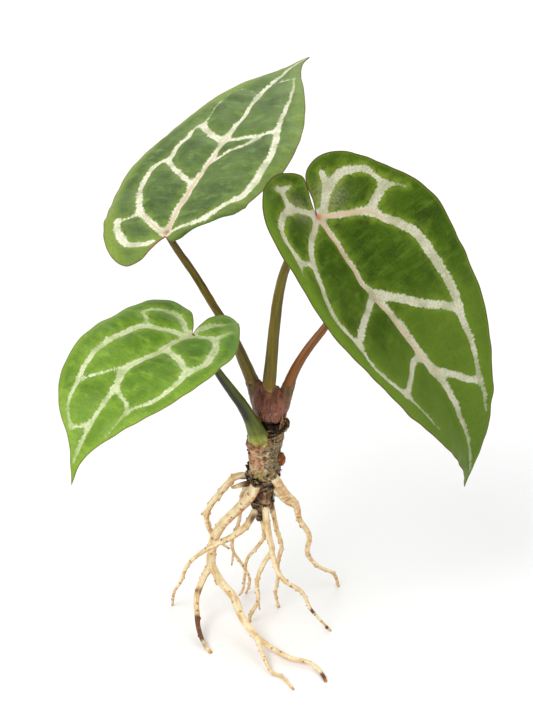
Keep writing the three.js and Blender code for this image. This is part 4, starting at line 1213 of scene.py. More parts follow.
def stalk_material(name, look):
    """A smooth stalk: fine lines along it, and its foot tinted by the sheath that it came out of."""
    material, w, shader = start_material(
        name, Specular_IOR_Level=0.3, Coat_Weight=0.06, Coat_Roughness=0.3)
    straight = w.attribute("straight", "Vector")
    height = w.attribute("height")
    streaks = w.stretch(straight, (1, 1, 0.09))
    skin = mottled(w, streaks, 0.8, look["dark"], look["light"], 0.3, 0.7)
    low, high = look["foot_span"]
    wander = w.plus(height, w.times(w.noise(straight, 0.35), 5))
    foot = w.band(wander, low, high, 1, 0)
    foot_skin = mottled(w, straight, 0.7, look["foot"], look["foot_light"], 0.35, 0.65)
    skin = w.mix(foot, skin, foot_skin)
    low, high = look["top_span"]
    skin = w.mix(w.band(height, low, high), skin, look["top"])
    if "shade_span" in look:
        start, full, end = look["shade_span"]
        wander = w.plus(height, w.times(w.noise(straight, 0.3), 6))
        shade = w.times(w.band(wander, start, full), w.band(wander, end - 12, end, 1, 0))
        across = w.add("ShaderNodeSeparateXYZ", {0: w.attribute("lie", "Vector")}, out=0)
        shade = w.times(shade, w.band(across, -0.1, 0.9, 1, 0.3))
        skin = w.mix(shade, skin, look["shade"])
    specks = w.group(shared("flecks"), Place=straight, Scale=1.6, Amount=0.34)
    skin = w.mix(specks, skin, look["speck"], 0.35)
    grain = w.stretch(straight, (1, 1, 0.2))
    dress(w, shader, skin, (streaks, 1.5, 0.34, 0.5), (grain, 1.6, 0.5, 0.35, 0.0002))
    return material


STALK_LOOKS = {
    "stalk_top": {
        "dark": paint(74, 60, 8), "light": paint(118, 98, 24), "foot": paint(98, 66, 20),
        "foot_light": paint(140, 94, 34), "foot_span": (95, 104), "top": paint(100, 78, 34),
        "top_span": (135, 152), "speck": paint(86, 64, 26), "slot": "olive_stalk",
    },
    "stalk_right": {
        "dark": paint(86, 72, 6), "light": paint(118, 102, 18), "foot": paint(134, 96, 16),
        "foot_light": paint(160, 124, 30), "foot_span": (95, 104), "top": paint(84, 70, 24),
        "top_span": (130, 160), "speck": paint(92, 70, 22), "slot": "olive_stalk",
    },
    "stalk_young": {
        "dark": paint(106, 60, 18), "light": paint(142, 88, 40), "foot": paint(98, 60, 34),
        "foot_light": paint(126, 82, 52), "foot_span": (93, 101), "top": paint(140, 90, 58),
        "top_span": (108, 122), "speck": paint(96, 52, 34), "slot": "red_stalk",
    },
    "stalk_left": {
        "dark": paint(80, 86, 8), "light": paint(112, 124, 20), "foot": paint(142, 140, 44),
        "foot_light": paint(186, 190, 104), "foot_span": (79.5, 83.5), "top": paint(92, 100, 36),
        "top_span": (106, 122), "speck": paint(58, 66, 18), "shade": paint(28, 25, 10),
        "shade_span": (85, 91, 121), "slot": "green_stalk",
    },
}


# Moves each branch to a place of its own in the noise, so that no two look the same.
APART = (7, 11, 400)


def mark_tube(piece, lines):
    """Stores where every vertex lies along the tube, how high, and which way it lies from its middle."""
    places = places_of(piece)
    found = straighten(places, lines)
    straight = found[:, :3] + found[:, 4:5] * APART
    put(piece, straight=straight, height=places[:, 2], from_tip=found[:, 3], lie=normals_of(piece))
    return places, found


def add_stalk(name, route):
    """A leaf stalk: a smooth tapering tube, a little uneven, with a shallow groove along one side."""
    line = smooth_line(route, 0.6)
    piece = add_tube(f"{name}_skin", line, turns=14)
    places, found = mark_tube(piece, [line])
    uneven = 0.05 * waves(places, 7, 3) + 0.025 * waves(places * [1, 1, 0.3], 1.6, 4)
    inner = smoothstep(found[:, 3], 0, 3)
    angle = np.arctan2(found[:, 1], found[:, 0])
    groove = -0.10 * bump_at(angle, 0.35) * smoothstep(found[:, 2], 8, 24) * inner
    put_places(piece, places + normals_of(piece) * (uneven * inner + groove)[:, None])
    look = STALK_LOOKS[name]
    settle(piece, name, look["slot"], stalk_material(f"{name}_skin", look), angle=50)


def add_young_blade():
    """A young leaf, still rolled up tightly, with the seam of its outer edge winding round it."""
    line = rounded_ends(smooth_line(YOUNG_BLADE, 0.2), head=True, tail=True)
    piece = add_tube("young_leaf_roll", line, turns=30)
    places, found = mark_tube(piece, [line])
    angle = np.arctan2(found[:, 1], found[:, 0])
    turned = (angle + found[:, 2] * 0.09) / (2 * np.pi)
    wrap = turned - np.floor(turned)
    inner = smoothstep(found[:, 2], 0.2, 3) * smoothstep(found[:, 3], 0.2, 4)
    step = found[:, 5] * (0.2 * wrap - 0.17) * inner
    veins = 0.03 * np.sin(found[:, 2] * 1.7 + 3 * angle) * inner
    put_places(piece, places + normals_of(piece) * (step + veins)[:, None])
    material, w, shader = start_material(
        "young_leaf_skin", IOR=1.45, Coat_Weight=0.15, Coat_Roughness=0.25)
    straight = w.attribute("straight", "Vector")
    skin = mottled(w, w.stretch(straight, (1, 1, 0.3)), 0.9, paint(110, 58, 40), paint(156, 98, 62))
    skin = w.mix(w.band(w.attribute("from_tip"), 2, 16, 0.6, 0), skin, paint(96, 108, 44))
    dress(w, shader, skin, (straight, 0.9, 0.3, 0.45), (straight, 1.4, 0.5, 0.4, 0.0002))
    settle(piece, "leaf_young", "young_blade", material, angle=60)


def sheath_material():
    """The fleshy sheath: reddish mauve, streaked upwards, dry and brown towards its foot."""
    material, w, shader = start_material(
        "sheath_skin", Specular_IOR_Level=0.4, Coat_Weight=0.08, Coat_Roughness=0.35)
    straight = w.attribute("straight", "Vector")
    streaks = w.stretch(straight, (1, 1, 0.22))
    skin = mottled(w, streaks, 0.6, paint(80, 34, 16), paint(136, 74, 50), 0.36, 0.62)
    skin = w.mix(w.clouds(straight, 0.5, 0.48, 0.62), skin, paint(158, 90, 66), 0.7)
    skin = w.mix(w.clouds(straight, 0.32, 0.5, 0.64), skin, paint(92, 54, 22), 0.7)
    olive = mottled(w, streaks, 0.8, paint(78, 58, 22), paint(120, 92, 46))
    skin = w.mix(w.attribute("olive"), skin, olive)
    bare = mottled(w, streaks, 0.7, paint(104, 76, 16), paint(138, 110, 30))
    skin = w.mix(w.attribute("bare"), skin, bare)
    lines = w.group(shared("lines"), Place=w.stretch(straight, (1, 1, 0.3)), Scale=0.7, Width=0.02)
    low = w.band(w.attribute("height"), 86, 91, 0.75, 0.12)
    skin = w.mix(w.times(lines, low), skin, paint(206, 166, 144))
    skin = w.mix(w.attribute("seam"), skin, paint(72, 36, 26))
    dry = mottled(w, streaks, 0.9, paint(20, 12, 8), paint(66, 40, 26), 0.4, 0.7)
    skin = w.mix(w.attribute("dry"), skin, dry)
    specks = w.group(shared("flecks"), Place=straight, Scale=1.2, Amount=0.37)
    skin = w.mix(specks, skin, paint(66, 34, 26), 0.5)
    dress(w, shader, skin, (straight, 1.4, 0.38, 0.6), (streaks, 1.3, 0.6, 0.7, 0.0004))
    return material


def sheath_foot(name):
    """The part of a stalk that stands in the sheath, a little thicker low down and sunk in it above."""
    first, second, third = np.array(STALKS[name][:3], float)
    last = second + (third - second) * 0.5
    entry = np.array([2.2 + (first[0] - 2.2) * 0.4, first[1] * 0.4, 82.4, 2])
    route = np.vstack([entry, first, second, last])
    route[:, 3] += [0, 0.35, 0.05, -0.1]
    return smooth_line(route, 0.4)


def add_sheath():
    """The feet of the three young stalks, run together, with the outermost sheath's free edge."""
    lines = [sheath_foot(name) for name in ("stalk_top", "stalk_right", "stalk_young")]
    lines += [smooth_line(route, 0.4) for route in SHEATH_WEBS]
    body = smooth_line(SHEATH, 0.4)
    cores = [add_tube(f"sheath_{i}", line, turns=12) for i, line in enumerate([body, *lines])]
    squeezed = places_of(cores[0])
    squeezed[:, 1] *= SHEATH_FLATTEN
    put_places(cores[0], squeezed)
    piece = join("sheath_skin", cores)
    fused(piece, VOXELS["sheath"], 10)
    places, _ = mark_tube(piece, [body])
    normals = normals_of(piece)
    x, _, z = places.T
    edge_x, edge_z = np.array(SHEATH_EDGE).T
    inside = np.interp(x, edge_x, edge_z) - z + 0.2 * waves(places, 1.6, 23)
    front = smoothstep(-normals[:, 1], -0.35, 0.1)
    membrane = smoothstep(inside, -0.05, 0.4)
    seam = bump_at(inside + 0.15, 0.3) * front * smoothstep(5 - x, 0, 0.6) * smoothstep(x + 2, 0, 0.6)
    hem = 83.4 + 0.8 * waves(places * [1, 1, 0.2], 2.2, 24)
    torn = smoothstep(hem - z, -0.1, 0.4)
    folds = 0.14 * waves(places * [1, 1, 0.22], 1.7, 21) + 0.05 * waves(places * [1, 1, 0.3], 0.7, 22)
    height = folds + 0.22 * membrane - 0.12 * seam - 0.5 * torn
    put_places(piece, places + normals * height[:, None])
    wander = 0.3 * waves(places, 3, 25)
    left_x = np.interp(z, [86, 90, 94, 99], [-3.9, -3.6, -2.6, -1.6]) + wander
    right_x = np.interp(z, [86, 90, 94, 99], [7, 6.2, 5.8, 5]) + wander
    olive = smoothstep(left_x - x, -0.6, 0.8) + 0.7 * smoothstep(x - right_x, -0.5, 0.8)
    put(
        piece, olive=np.clip(olive, 0, 1) * smoothstep(z, 86, 90), seam=np.clip(seam, 0, 1) * 0.45,
        bare=smoothstep(-inside, 0, 0.5) * smoothstep(5 - x, 0, 1), dry=smoothstep(hem + 0.7 - z, 0, 0.9))
    settle(piece, "sheath", "sheath", sheath_material())


# Torn, dry scraps of old sheath that stand round the sheath's foot: start and end angle in degrees,
# foot and top height, and how far out they stand.
SCRAPS = [
    (-22, 14, 80.5, 87.6, 5.2), (28, 58, 80.5, 86.2, 5.2), (70, 104, 80.2, 87.2, 5.1),
    (118, 150, 80.4, 85.6, 5.3), (160, 196, 80.3, 86.2, 5.2), (214, 232, 80.2, 84.8, 5.2),
    (306, 326, 80.2, 84.4, 5.2),
]
SCRAP_MIDDLE = (2.2, 0.1)


def add_scrap(number, start, end, foot, top, reach):
    """A thin pointed scrap that hugs the foot of the sheath."""
    piece, _, _ = lay_grid(f"sheath_scrap_{number}", 36, 24)
    flat = vectors_of(piece)
    share, up = flat[:, 0], flat[:, 1] + 0.5
    ragged = 0.3 * waves(np.column_stack([share * 3, up * 0]), 0.8, 90 + number)
    width = np.sqrt(np.clip(1 - up**2.4, 0.003, 1))
    width *= 1 + 0.25 * waves(up[:, None] * 6, 1.5, 70 + number)
    angle = np.radians((start + end) / 2 + share * (end - start) * width)
    out = reach + 0.22 * waves(flat * [5, 5, 1], 1.6, 80 + number) + 0.35 * up**2
    z = foot + (top - foot) * up * (1 + ragged)
    x = SCRAP_MIDDLE[0] + out * np.cos(angle)
    y = SCRAP_MIDDLE[1] + SHEATH_FLATTEN * out * np.sin(angle)
    put_places(piece, np.stack([x, y, z], -1))
    thinness = np.clip(np.maximum(np.abs(share) * 2, up), 0, 1) ** 3
    put(piece, straight=np.stack([angle * reach, 0 * z, z], -1), thinness=thinness)
    modify(piece, "SOLIDIFY", thickness=0.16 * MM, offset=0)
    return piece


def scrap_material():
    """A thin dry skin, dark at its foot and golden towards its torn edge."""
    material, w, shader = start_material("sheath_scraps", Specular_IOR_Level=0.35)
    straight = w.attribute("straight", "Vector")
    streaks = w.stretch(straight, (1, 1, 0.2))
    skin = mottled(w, streaks, 1.0, paint(30, 17, 11), paint(108, 64, 36), 0.38, 0.68)
    skin = w.mix(w.attribute("thinness"), skin, paint(196, 140, 78), 0.7)
    lines = w.group(shared("lines"), Place=streaks, Scale=1.1, Width=0.02)
    skin = w.mix(lines, skin, paint(206, 164, 120), 0.4)
    dress(w, shader, skin, (straight, 1.1, 0.4, 0.6), (streaks, 1.6, 0.5, 0.6, 0.0003))
    return material


def bark_material(name, dark, light, gold, roughness=(0.6, 0.85), mixing=(0.4, 0.75)):
    """Dead, torn bark: dark, with lighter fibres along it."""
    material, w, shader = start_material(name, Specular_IOR_Level=0.3)
    straight = w.attribute("straight", "Vector")
    fibres = w.group(shared("lines"), Place=w.stretch(straight, (1, 1, 0.35)), Scale=1.3, Width=0.035)
    skin = mottled(w, straight, 0.9, dark, light, *mixing)
    skin = w.mix(fibres, skin, gold, 0.55)
    dress(w, shader, skin, (straight, 1.2, *roughness), (straight, 1.4, 0.6, 0.9, 0.0005))
    return material


def add_collar():
    """The torn rim of an old sheath round the stem's top: dark brown dead bark, painted nearly black with
    the shade of the hollow under the sheath.
    """
    line = smooth_line(COLLAR, 0.15)
    piece = add_tube("collar_bark_and_shade", line, turns=40)
    fused(piece, VOXELS["collar"], 0)
    places, _ = mark_tube(piece, [line])
    angle = np.arctan2(places[:, 1] - 0.4, places[:, 0] - 3.2)
    torn = 0.2 * np.sin(5 * angle + places[:, 2] * 2) + 0.2 * waves(places * [1, 1, 0.6], 1.4, 31)
    flakes = 0.2 * smoothstep(waves(places * [0.8, 0.8, 1.2], 1.1, 33), 0.1, 0.3)
    fine = 0.1 * waves(places * [1, 1, 0.5], 0.5, 32)
    put_places(piece, places + normals_of(piece) * (torn + flakes + fine)[:, None])
    # Nearly black: the dead bark's own dark brown, deepened by painted shade of the hollow under the
    # sheath.
    material = bark_material("collar_bark_and_shade", paint(16, 10, 7), paint(50, 33, 22), paint(126, 84, 44))
    settle(piece, "collar", "collar", material)


def add_ball(name, ball, seed, rough):
    """A small lump seated in the stem's side, uneven like what it grew as."""
    bpy.ops.mesh.primitive_ico_sphere_add(subdivisions=5, radius=1)
    piece = bpy.context.object
    piece.name = piece.data.name = name
    flat = vectors_of(piece)
    folds = np.abs(waves(flat * [1, 1, 0.5], 0.6, seed + 2))
    lumps = waves(flat, 1.1, seed) + 0.5 * waves(flat, 0.35, seed + 1) - 0.6 * folds
    shape = flat * (1 + rough * lumps)[:, None]
    put_places(piece, np.array(ball["at"]) + shape * np.array(ball["half"]))
    put(piece, straight=places_of(piece))
    return piece


def stem_material():
    """The stem's bark: pinkish tan on the left, grey-green on the right, with dark soil low down."""
    material, w, shader = start_material("stem_bark", Specular_IOR_Level=0.3)
    straight = w.attribute("straight", "Vector")
    tan = mottled(w, straight, 0.45, paint(156, 94, 62), paint(222, 166, 126), 0.34, 0.58)
    # Pale vertical streaks on the tan side: partly pale peeling bark, partly painted highlights.
    pale = w.clouds(w.stretch(straight, (1, 1, 0.45)), 0.6, 0.48, 0.6)
    tan = w.mix(pale, tan, paint(238, 212, 178), 0.75)
    tan = w.mix(w.band(w.attribute("height"), 67, 63), tan, paint(196, 176, 104), 0.5)
    grey = mottled(w, straight, 0.45, paint(76, 68, 42), paint(134, 128, 96), 0.36, 0.62)
    skin = w.mix(w.attribute("shaded_side"), tan, grey)
    cup = mottled(w, straight, 0.8, paint(120, 66, 46), paint(190, 134, 98))
    skin = w.mix(w.attribute("cup"), skin, cup)
    skin = w.mix(w.attribute("green_patch"), skin, paint(146, 142, 36), 0.8)
    upper = mottled(w, straight, 0.9, paint(38, 24, 14), paint(118, 80, 50), 0.4, 0.68)
    skin = w.mix(w.attribute("upper"), skin, upper)
    soil = mottled(w, straight, 0.9, paint(22, 13, 8), paint(92, 60, 38), 0.42, 0.7)
    skin = w.mix(w.attribute("soil"), skin, soil)
    streaks = w.stretch(straight, (1, 1, 0.3))
    sleeve = mottled(w, streaks, 0.9, paint(84, 54, 32), paint(176, 130, 90), 0.4, 0.66)
    skin = w.mix(w.attribute("sleeve"), skin, sleeve)
    shreds = w.group(shared("lines"), Place=w.stretch(straight, (0.5, 0.5, 1.4)), Scale=1, Width=0.03)
    skin = w.mix(shreds, skin, paint(206, 180, 142), 0.45)
    skin = w.mix(w.attribute("flake"), skin, paint(200, 170, 132), 0.5)
    spots = w.group(shared("flecks"), Place=straight, Scale=0.7, Amount=0.3)
    skin = w.mix(spots, skin, paint(54, 34, 20), 0.35)
    skin = w.mix(w.attribute("crack"), skin, paint(34, 19, 10), 0.85)
    dress(w, shader, skin, (straight, 1.0, 0.6, 0.9), (straight, 1.3, 0.65, 1.0, 0.0006))
    return material


# Dark pits in the stem's bark: middle and reach.
STEM_PITS = [
    ((0.4, -5.4, 70.2), 0.8), ((5, -2.6, 70), 0.8), ((-1.6, -5.4, 66.6), 0.45), ((3.4, -4.2, 66), 0.6),
    ((-3.8, -4, 68.4), 0.4), ((2.6, -4.8, 73.6), 0.55), ((-4.2, 3, 70), 0.7), ((3.6, 4, 66), 0.7),
    ((0, 5.3, 72), 0.6), ((-1.2, -5.8, 75.2), 0.4), ((4.4, -3, 62.5), 0.7), ((-4.6, -2.6, 63), 0.6),
]
GREEN_PATCH = ((-1, -5.2, 63.2), (1.7, 2, 1.4))


def root_lips(stem):
    """Short stretches of bark round the roots, where they break out of the stem."""
    lips = []
    for branches in ROOTS.values():
        line = smooth_line(branches[0], 0.35)[:5]
        nearest = np.abs(line[:, None, 2] - stem[None, :, 2]).argmin(1)
        off = np.hypot(*(line[:, :2] - stem[nearest, :2]).T) - stem[nearest, 3]
        lip = line[off < 0.6]
        if len(lip) > 2:
            lip[:, 3] += 0.3
            lips.append(lip)
    return lips


def stem_cracks(places, ring):
    """How deeply the stem's bark is cracked: along broken rings, in a net, and in pits."""
    broken = smoothstep(waves(places, 3, 42), 0, 0.7)
    veined = bump_at(waves(places * [1, 1, 0.7], 3.2, 46), 0.06)
    veined *= smoothstep(waves(places, 4, 48), 0, 0.6)
    crack = 0.8 * np.maximum(bump_at(ring, 0.1) * broken, veined)
    ragged = 0.2 * waves(places, 0.8, 49)
    for middle, reach in STEM_PITS:
        off = np.linalg.norm((places - middle) * [1, 1, 0.8], axis=1) + ragged
        crack = np.maximum(crack, bump_at(off, reach))
    return crack


def add_stem():
    """The short stem, ringed by leaf scars, cracked and flaking, tapering into old soil."""
    line = smooth_line(STEM, 0.25)
    cup, sleeve = smooth_line(STEM_CUP, 0.25), smooth_line(STEM_SLEEVE, 0.25)
    lips = root_lips(line)
    tubes = [add_tube(f"stem_{i}", part, turns=20) for i, part in enumerate([line, cup, sleeve, *lips])]
    piece = join("stem_bark", tubes)
    fused(piece, VOXELS["stem"], 3)
    places, found = mark_tube(piece, [line])
    normals = normals_of(piece)
    x, y, z = places.T
    angle = np.arctan2(y, x)
    tilt = z + 0.6 * np.sin(angle + 0.6) + 0.5 * waves(places, 5, 41)
    ring = np.abs((tilt / 3.1) % 1 - 0.5) * 2
    cup_at, sleeve_at = straighten(places, [cup]), straighten(places, [sleeve])
    off_cup, off_sleeve = (np.hypot(*at[:, :2].T) - at[:, 5] for at in (cup_at, sleeve_at))
    in_cup = smoothstep(0.9 - off_cup, 0, 0.8) * smoothstep(z, 73.4, 75)
    in_sleeve = smoothstep(0.7 - off_sleeve, 0, 0.5) * smoothstep(z, 59, 58) * smoothstep(-y, 2, 3)
    rim = bump_at(z - 77.9 + 0.3 * waves(places, 1.5, 50), 0.35) * in_cup
    rim += bump_at(sleeve_at[:, 3], 0.5) * in_sleeve
    crack = np.clip(np.maximum(stem_cracks(places, ring) * (1 - in_sleeve), rim), 0, 1)
    flake = smoothstep(waves(places * [0.7, 0.7, 1.3], 1.7, 47), 0.25, 0.4)
    lumps = 0.22 * np.sin(3 * angle + 0.7 * z)
    lumps += 0.34 * waves(places, 2.4, 43) + 0.16 * waves(places, 0.9, 44)
    fine = 0.06 * waves(places, 0.45, 45)
    scale = np.clip(found[:, 5] / 4, 0.2, 1) * (1 - 0.6 * in_sleeve)
    height = (0.8 * lumps + fine + 0.12 * flake + 0.15 * (1 - ring) - 0.5 * crack) * scale
    put_places(piece, places + normals * height[:, None])
    soil_edge = z + 1.4 * waves(places, 2.5, 51) + 0.5 * waves(places, 0.8, 52)
    side = normals[:, 0] + 0.45 * waves(places, 2.5, 53) + 0.3 * waves(places, 1, 54)
    middle, reach = GREEN_PATCH
    green = bump_at(np.linalg.norm((places - middle) / reach, axis=1), 1)
    upper = smoothstep(z + 0.5 * waves(places, 1.5, 55), 75.4, 76.4) * (1 - in_cup)
    put(
        piece, crack=crack, flake=flake * bump_at(ring - 0.5, 0.4), green_patch=green, cup=in_cup,
        upper=upper, sleeve=in_sleeve, soil=smoothstep(62.6 - soil_edge, -0.6, 0.6) * (1 - green),
        shaded_side=smoothstep(side, -0.1, 0.35) * (1 - 0.6 * in_cup))
    settle(piece, "stem", "stem", stem_material())


# The torn edges of old leaf scars, which wind round the stem: start and end angle in degrees, start
# and end height, and thickness.
SCAR_EDGES = [
    (-128, -12, 76.1, 79.3, 0.2), (-105, 4, 75.7, 78.3, 0.15), (-62, 22, 77.4, 80.2, 0.14),
    (-150, -70, 75.3, 75.9, 0.14), (20, 150, 77, 78.6, 0.2), (160, 260, 76.6, 76, 0.18),
    (-96, -40, 72.2, 73.2, 0.12), (-130, -85, 70.4, 69.2, 0.12), (-70, 10, 64.6, 66, 0.13),
]

# Shreds of old sheaths and dead rootlets round the stem, in bunches: how many, between which
# heights and angles, how long, how steep and how thick.
LIGHT_SHREDS = [
    (50, (75.4, 79.4), (-180, 180), (2, 7), (-0.4, 0.4), (0.1, 0.2)),
    (34, (75.2, 80), (-75, 15), (2, 6), (-0.9, 0.9), (0.12, 0.22)),
    (26, (61, 75), (-180, 180), (1.5, 4.5), (-1.2, 1.2), (0.07, 0.15)),
    (18, (60, 65), (-110, -10), (1.5, 4), (-0.9, 0.9), (0.09, 0.17)),
]
DARK_SHREDS = [
    (40, (76, 80), (-180, 180), (2, 6), (-0.6, 0.6), (0.08, 0.2)),
    (110, (50, 62.5), (-180, 180), (2, 6), (-1.9, -1.1), (0.06, 0.15)),
    (46, (57, 63.5), (-200, -110), (2, 6), (-2.2, -0.9), (0.07, 0.16)),
]


def round_stem(stem, angle, z, lift, width):
    """A line that winds round the stem at these angles and heights, some way off it."""
    middle_x, radius = (np.interp(z, stem[:, 2], stem[:, i]) for i in (0, 3))
    reach = radius + lift
    return np.stack([middle_x + reach * np.cos(angle), reach * np.sin(angle), z, width], -1)


def shred_lines(bunches, seed):
    """Strands that lie round the stem, following its surface and lifting off it at one end."""
    draw = np.random.default_rng(seed)
    stem = smooth_line(STEM + COLLAR[1:], 0.5)
    steps = np.linspace(0, 1, 10)
    for count, heights, angles, lengths, slopes, widths in bunches:
        for _ in range(count):
            slope, length = draw.uniform(*slopes), draw.uniform(*lengths)
            wander = 0.35 * np.sin(steps * draw.uniform(3, 9) + draw.uniform(0, 6))
            z = draw.uniform(*heights) + steps * length * math.sin(slope) + wander * math.cos(slope)
            lift = draw.uniform(0.15, 0.5) + draw.uniform(0, 0.8) * steps**3
            angle = math.radians(draw.uniform(*angles)) + (steps * length * math.cos(slope) + wander) / 5
            yield round_stem(stem, angle, z, lift, draw.uniform(*widths) * np.sqrt(1.03 - steps))


def scar_lines():
    """The wavy line of each scar's edge, just off the stem."""
    stem = smooth_line(STEM + COLLAR[1:], 0.5)
    for number, (start, end, low, high, thick) in enumerate(SCAR_EDGES):
        share = np.linspace(0, 1, 60)
        angle = np.radians(start + (end - start) * share)
        wavy = waves(np.stack([share * 20, 0 * share, 0 * share], -1), 3, 100 + number)
        z = low + (high - low) * share + 0.25 * wavy
        width = thick * np.sqrt(np.clip(1.02 - np.abs(2 * share - 1) ** 3, 0.02, 1)) * (1 + 0.4 * wavy)
        yield round_stem(stem, angle, z, 0.2 + 0.15 * wavy[::-1], width)


def add_shreds(name, bunches, seed, material, more=()):
    """Many thin strands in one piece."""
    lines = [*shred_lines(bunches, seed), *more]
    shreds = [add_tube(f"{name}_{i}", line, turns=1) for i, line in enumerate(lines)]
    piece = join(name, shreds)
    put(piece, straight=places_of(piece))
    settle(piece, None, "stem", material)


# Small black lumps on the stem's left edge: place and size.
STEM_LUMPS = [
    ((-5.2, -1.2, 76.6), 0.5), ((-5.4, -0.6, 75.4), 0.35), ((-5.1, -0.8, 72.4), 0.45),
    ((-5.2, -1, 71.2), 0.55), ((-5.1, -1.2, 70), 0.4), ((-5.3, -1.2, 66), 0.5), ((-5.6, -1.4, 64.8), 0.6),
    ((-5.1, -1.8, 64), 0.5), ((5.4, -1.2, 63.4), 0.5), ((5.2, -2, 62), 0.6), ((4.6, 3.4, 64.6), 0.6),
]


def add_crumbs():
    """Small black lumps of old root and soil, stuck on the stem and between the roots."""
    draw = np.random.default_rng(12)
    stem = smooth_line(STEM, 0.5)
    spots = list(STEM_LUMPS)
    for _ in range(90):
        z, angle = draw.uniform(42, 62), draw.uniform(0, 2 * np.pi)
        x, y, _, radius = stem[np.abs(stem[:, 2] - z).argmin()]
        place = (x + radius * math.cos(angle), y + radius * math.sin(angle), z)
        spots.append((place, draw.uniform(0.2, 0.6)))
    crumbs = []
    for number, (place, size) in enumerate(spots):
        bpy.ops.mesh.primitive_ico_sphere_add(subdivisions=3, radius=1)
        crumb = bpy.context.object
        flat = vectors_of(crumb)
        shape = flat * draw.uniform(0.7, 1.3, 3) * (1 + 0.25 * waves(flat, 1.3, 50 + number))[:, None]
        put_places(crumb, np.array(place) + size * shape)
        crumbs.append(crumb)
    piece = join("stem_crumbs", crumbs)
    put(piece, straight=places_of(piece))
    material = bark_material("stem_crumbs", paint(20, 13, 9), paint(58, 38, 26), paint(104, 76, 50))
    settle(piece, None, "stem", material)


def root_material():
    """A root's skin: cream, streaked lengthways, with brown nubs, bands, stains and tips, and painted shade
    on its lower right side.
    """
    material, w, shader = start_material("root_skin", Specular_IOR_Level=0.35)
    straight = w.attribute("straight", "Vector")
    streaks = w.stretch(straight, (1, 1, 0.25))
    skin = mottled(w, streaks, 0.7, paint(214, 176, 114), paint(247, 229, 188), 0.3, 0.6)
    bands = w.clouds(w.stretch(straight, (0.15, 0.15, 1)), 0.5, 0.52, 0.66, 3, 0.6)
    skin = w.mix(bands, skin, paint(196, 138, 66), 0.22)
    # Painted shade: each root's lower right side darker tan, partly also the browner skin of its underside.
    skin = w.mix(w.attribute("under"), skin, paint(192, 122, 46))
    lines = w.group(shared("lines"), Place=w.stretch(straight, (1, 1, 0.14)), Scale=1.4, Width=0.03)
    skin = w.mix(lines, skin, paint(166, 122, 72), 0.3)
    ragged = w.times(w.minus(w.noise(streaks, 0.9), 0.5), 0.8)
    stain = w.plus(w.attribute("stain"), ragged)
    skin = w.mix(w.band(stain, 0.2, 0.7, 0, 0.95), skin, paint(96, 42, 12))
    tip = w.band(w.attribute("from_tip"), 0.4, 2.4, 0.7, 0)
    skin = w.mix(tip, skin, paint(176, 118, 58))
    skin = w.mix(w.attribute("nub"), skin, paint(136, 66, 16), 0.9)
    specks = w.group(shared("flecks"), Place=straight, Scale=1.5, Amount=0.34)
    skin = w.mix(specks, skin, paint(158, 92, 34), 0.6)
    dress(w, shader, skin, (straight, 0.8, 0.5, 0.75), (streaks, 1.2, 0.6, 0.6, 0.0003))
    return material


NUB_SPACING = 2.7
NUB_SIZES = (0.3, 0.56)
# The way that the painted shade on every root faces: down and to the right, away from the key light.
ROOT_PAINTED_SHADE_SIDE = [0.5, 0.1, -0.86]


def free_tips(lines):
    """Whether each line ends in a free tip, and not inside another one."""
    free = []
    for number, line in enumerate(lines):
        others = [other for i, other in enumerate(lines) if i != number]
        gaps = [np.linalg.norm(other[:, :3] - line[-1, :3], axis=1).min() for other in others]
        free.append(min(gaps, default=99) > 2)
    return np.array(free)


def nub_spots(lines, draw):
    """Where the nubs sit on a root's skin, and how large each is."""
    for line in lines:
        _, first, second = line_frames(line)
        for at in np.arange(draw.uniform(2, 5), len(line) * ROOT_STEP - 2, NUB_SPACING):
            index = min(int((at + draw.uniform(-1.2, 1.2)) / ROOT_STEP), len(line) - 1)
            angle = draw.uniform(0, 2 * np.pi)
            reach = line[index, 3] * 1.04
            out = first[index] * math.cos(angle) + second[index] * math.sin(angle)
            size = draw.uniform(*NUB_SIZES) * (0.7 + 0.3 * min(reach, 1.5))
            yield line[index, :3] + reach * out, size


def add_root(name, branches, material):
    """A root with its branches grown into one skin, with wrinkles, nubs and a flat on the ground."""
    draw = np.random.default_rng(sum(map(ord, name)))
    lines = [smooth_line(route, ROOT_STEP) for route in branches]
    tubes = [add_tube(f"{name}_{i}", rounded_ends(line), turns=8) for i, line in enumerate(lines)]
    piece = join(f"{name}_skin", tubes)
    thinnest = min(line[:, 3].min() for line in lines)
    fused(piece, min(max(thinnest / 3, ROOT_VOXELS[0]), ROOT_VOXELS[1]), 4)
    places, found = mark_tube(piece, lines)
    radius = found[:, 5]
    height = radius * (0.05 * waves(places, 3.5, 62) + 0.015 * waves(places, 1.2, 63))
    nub = np.zeros(len(places))
    for spot, size in nub_spots(lines, draw):
        gap = np.linalg.norm(places - spot, axis=1)
        height += bump_at(gap, size) * size * 0.8 + 0.06 * bump_at(gap, 2.2 * size)
        nub = np.maximum(nub, bump_at(gap, 0.72 * size))
    stain = np.zeros(len(places))
    for spot, reach, depth in ROOT_STAINS:
        stain = np.maximum(stain, depth * bump_at(np.linalg.norm(places - spot, axis=1), reach))
    places = places + normals_of(piece) * height[:, None]
    places[:, 2] = np.maximum(places[:, 2], 0)
    put_places(piece, places)
    # Painted shade: how far each point faces down and right, away from the key light.
    under = normals_of(piece) @ ROOT_PAINTED_SHADE_SIDE + 0.25 * waves(places, 2, 64)
    from_tip = np.where(free_tips(lines)[found[:, 4].astype(int)], found[:, 3], FAR)
    piece.data.attributes.remove(piece.data.attributes["from_tip"])
    put(
        piece, under=0.85 * smoothstep(under, -0.1, 0.8), nub=np.clip(nub * 1.2, 0, 1), stain=stain,
        from_tip=from_tip)
    settle(piece, name, "root", material)


class LeafSettings(bpy.types.PropertyGroup):
    velvet: FloatProperty(
        name="Velvet", description="Soft sheen of the large leaf", default=0.05, min=0, max=1,
        subtype="FACTOR")


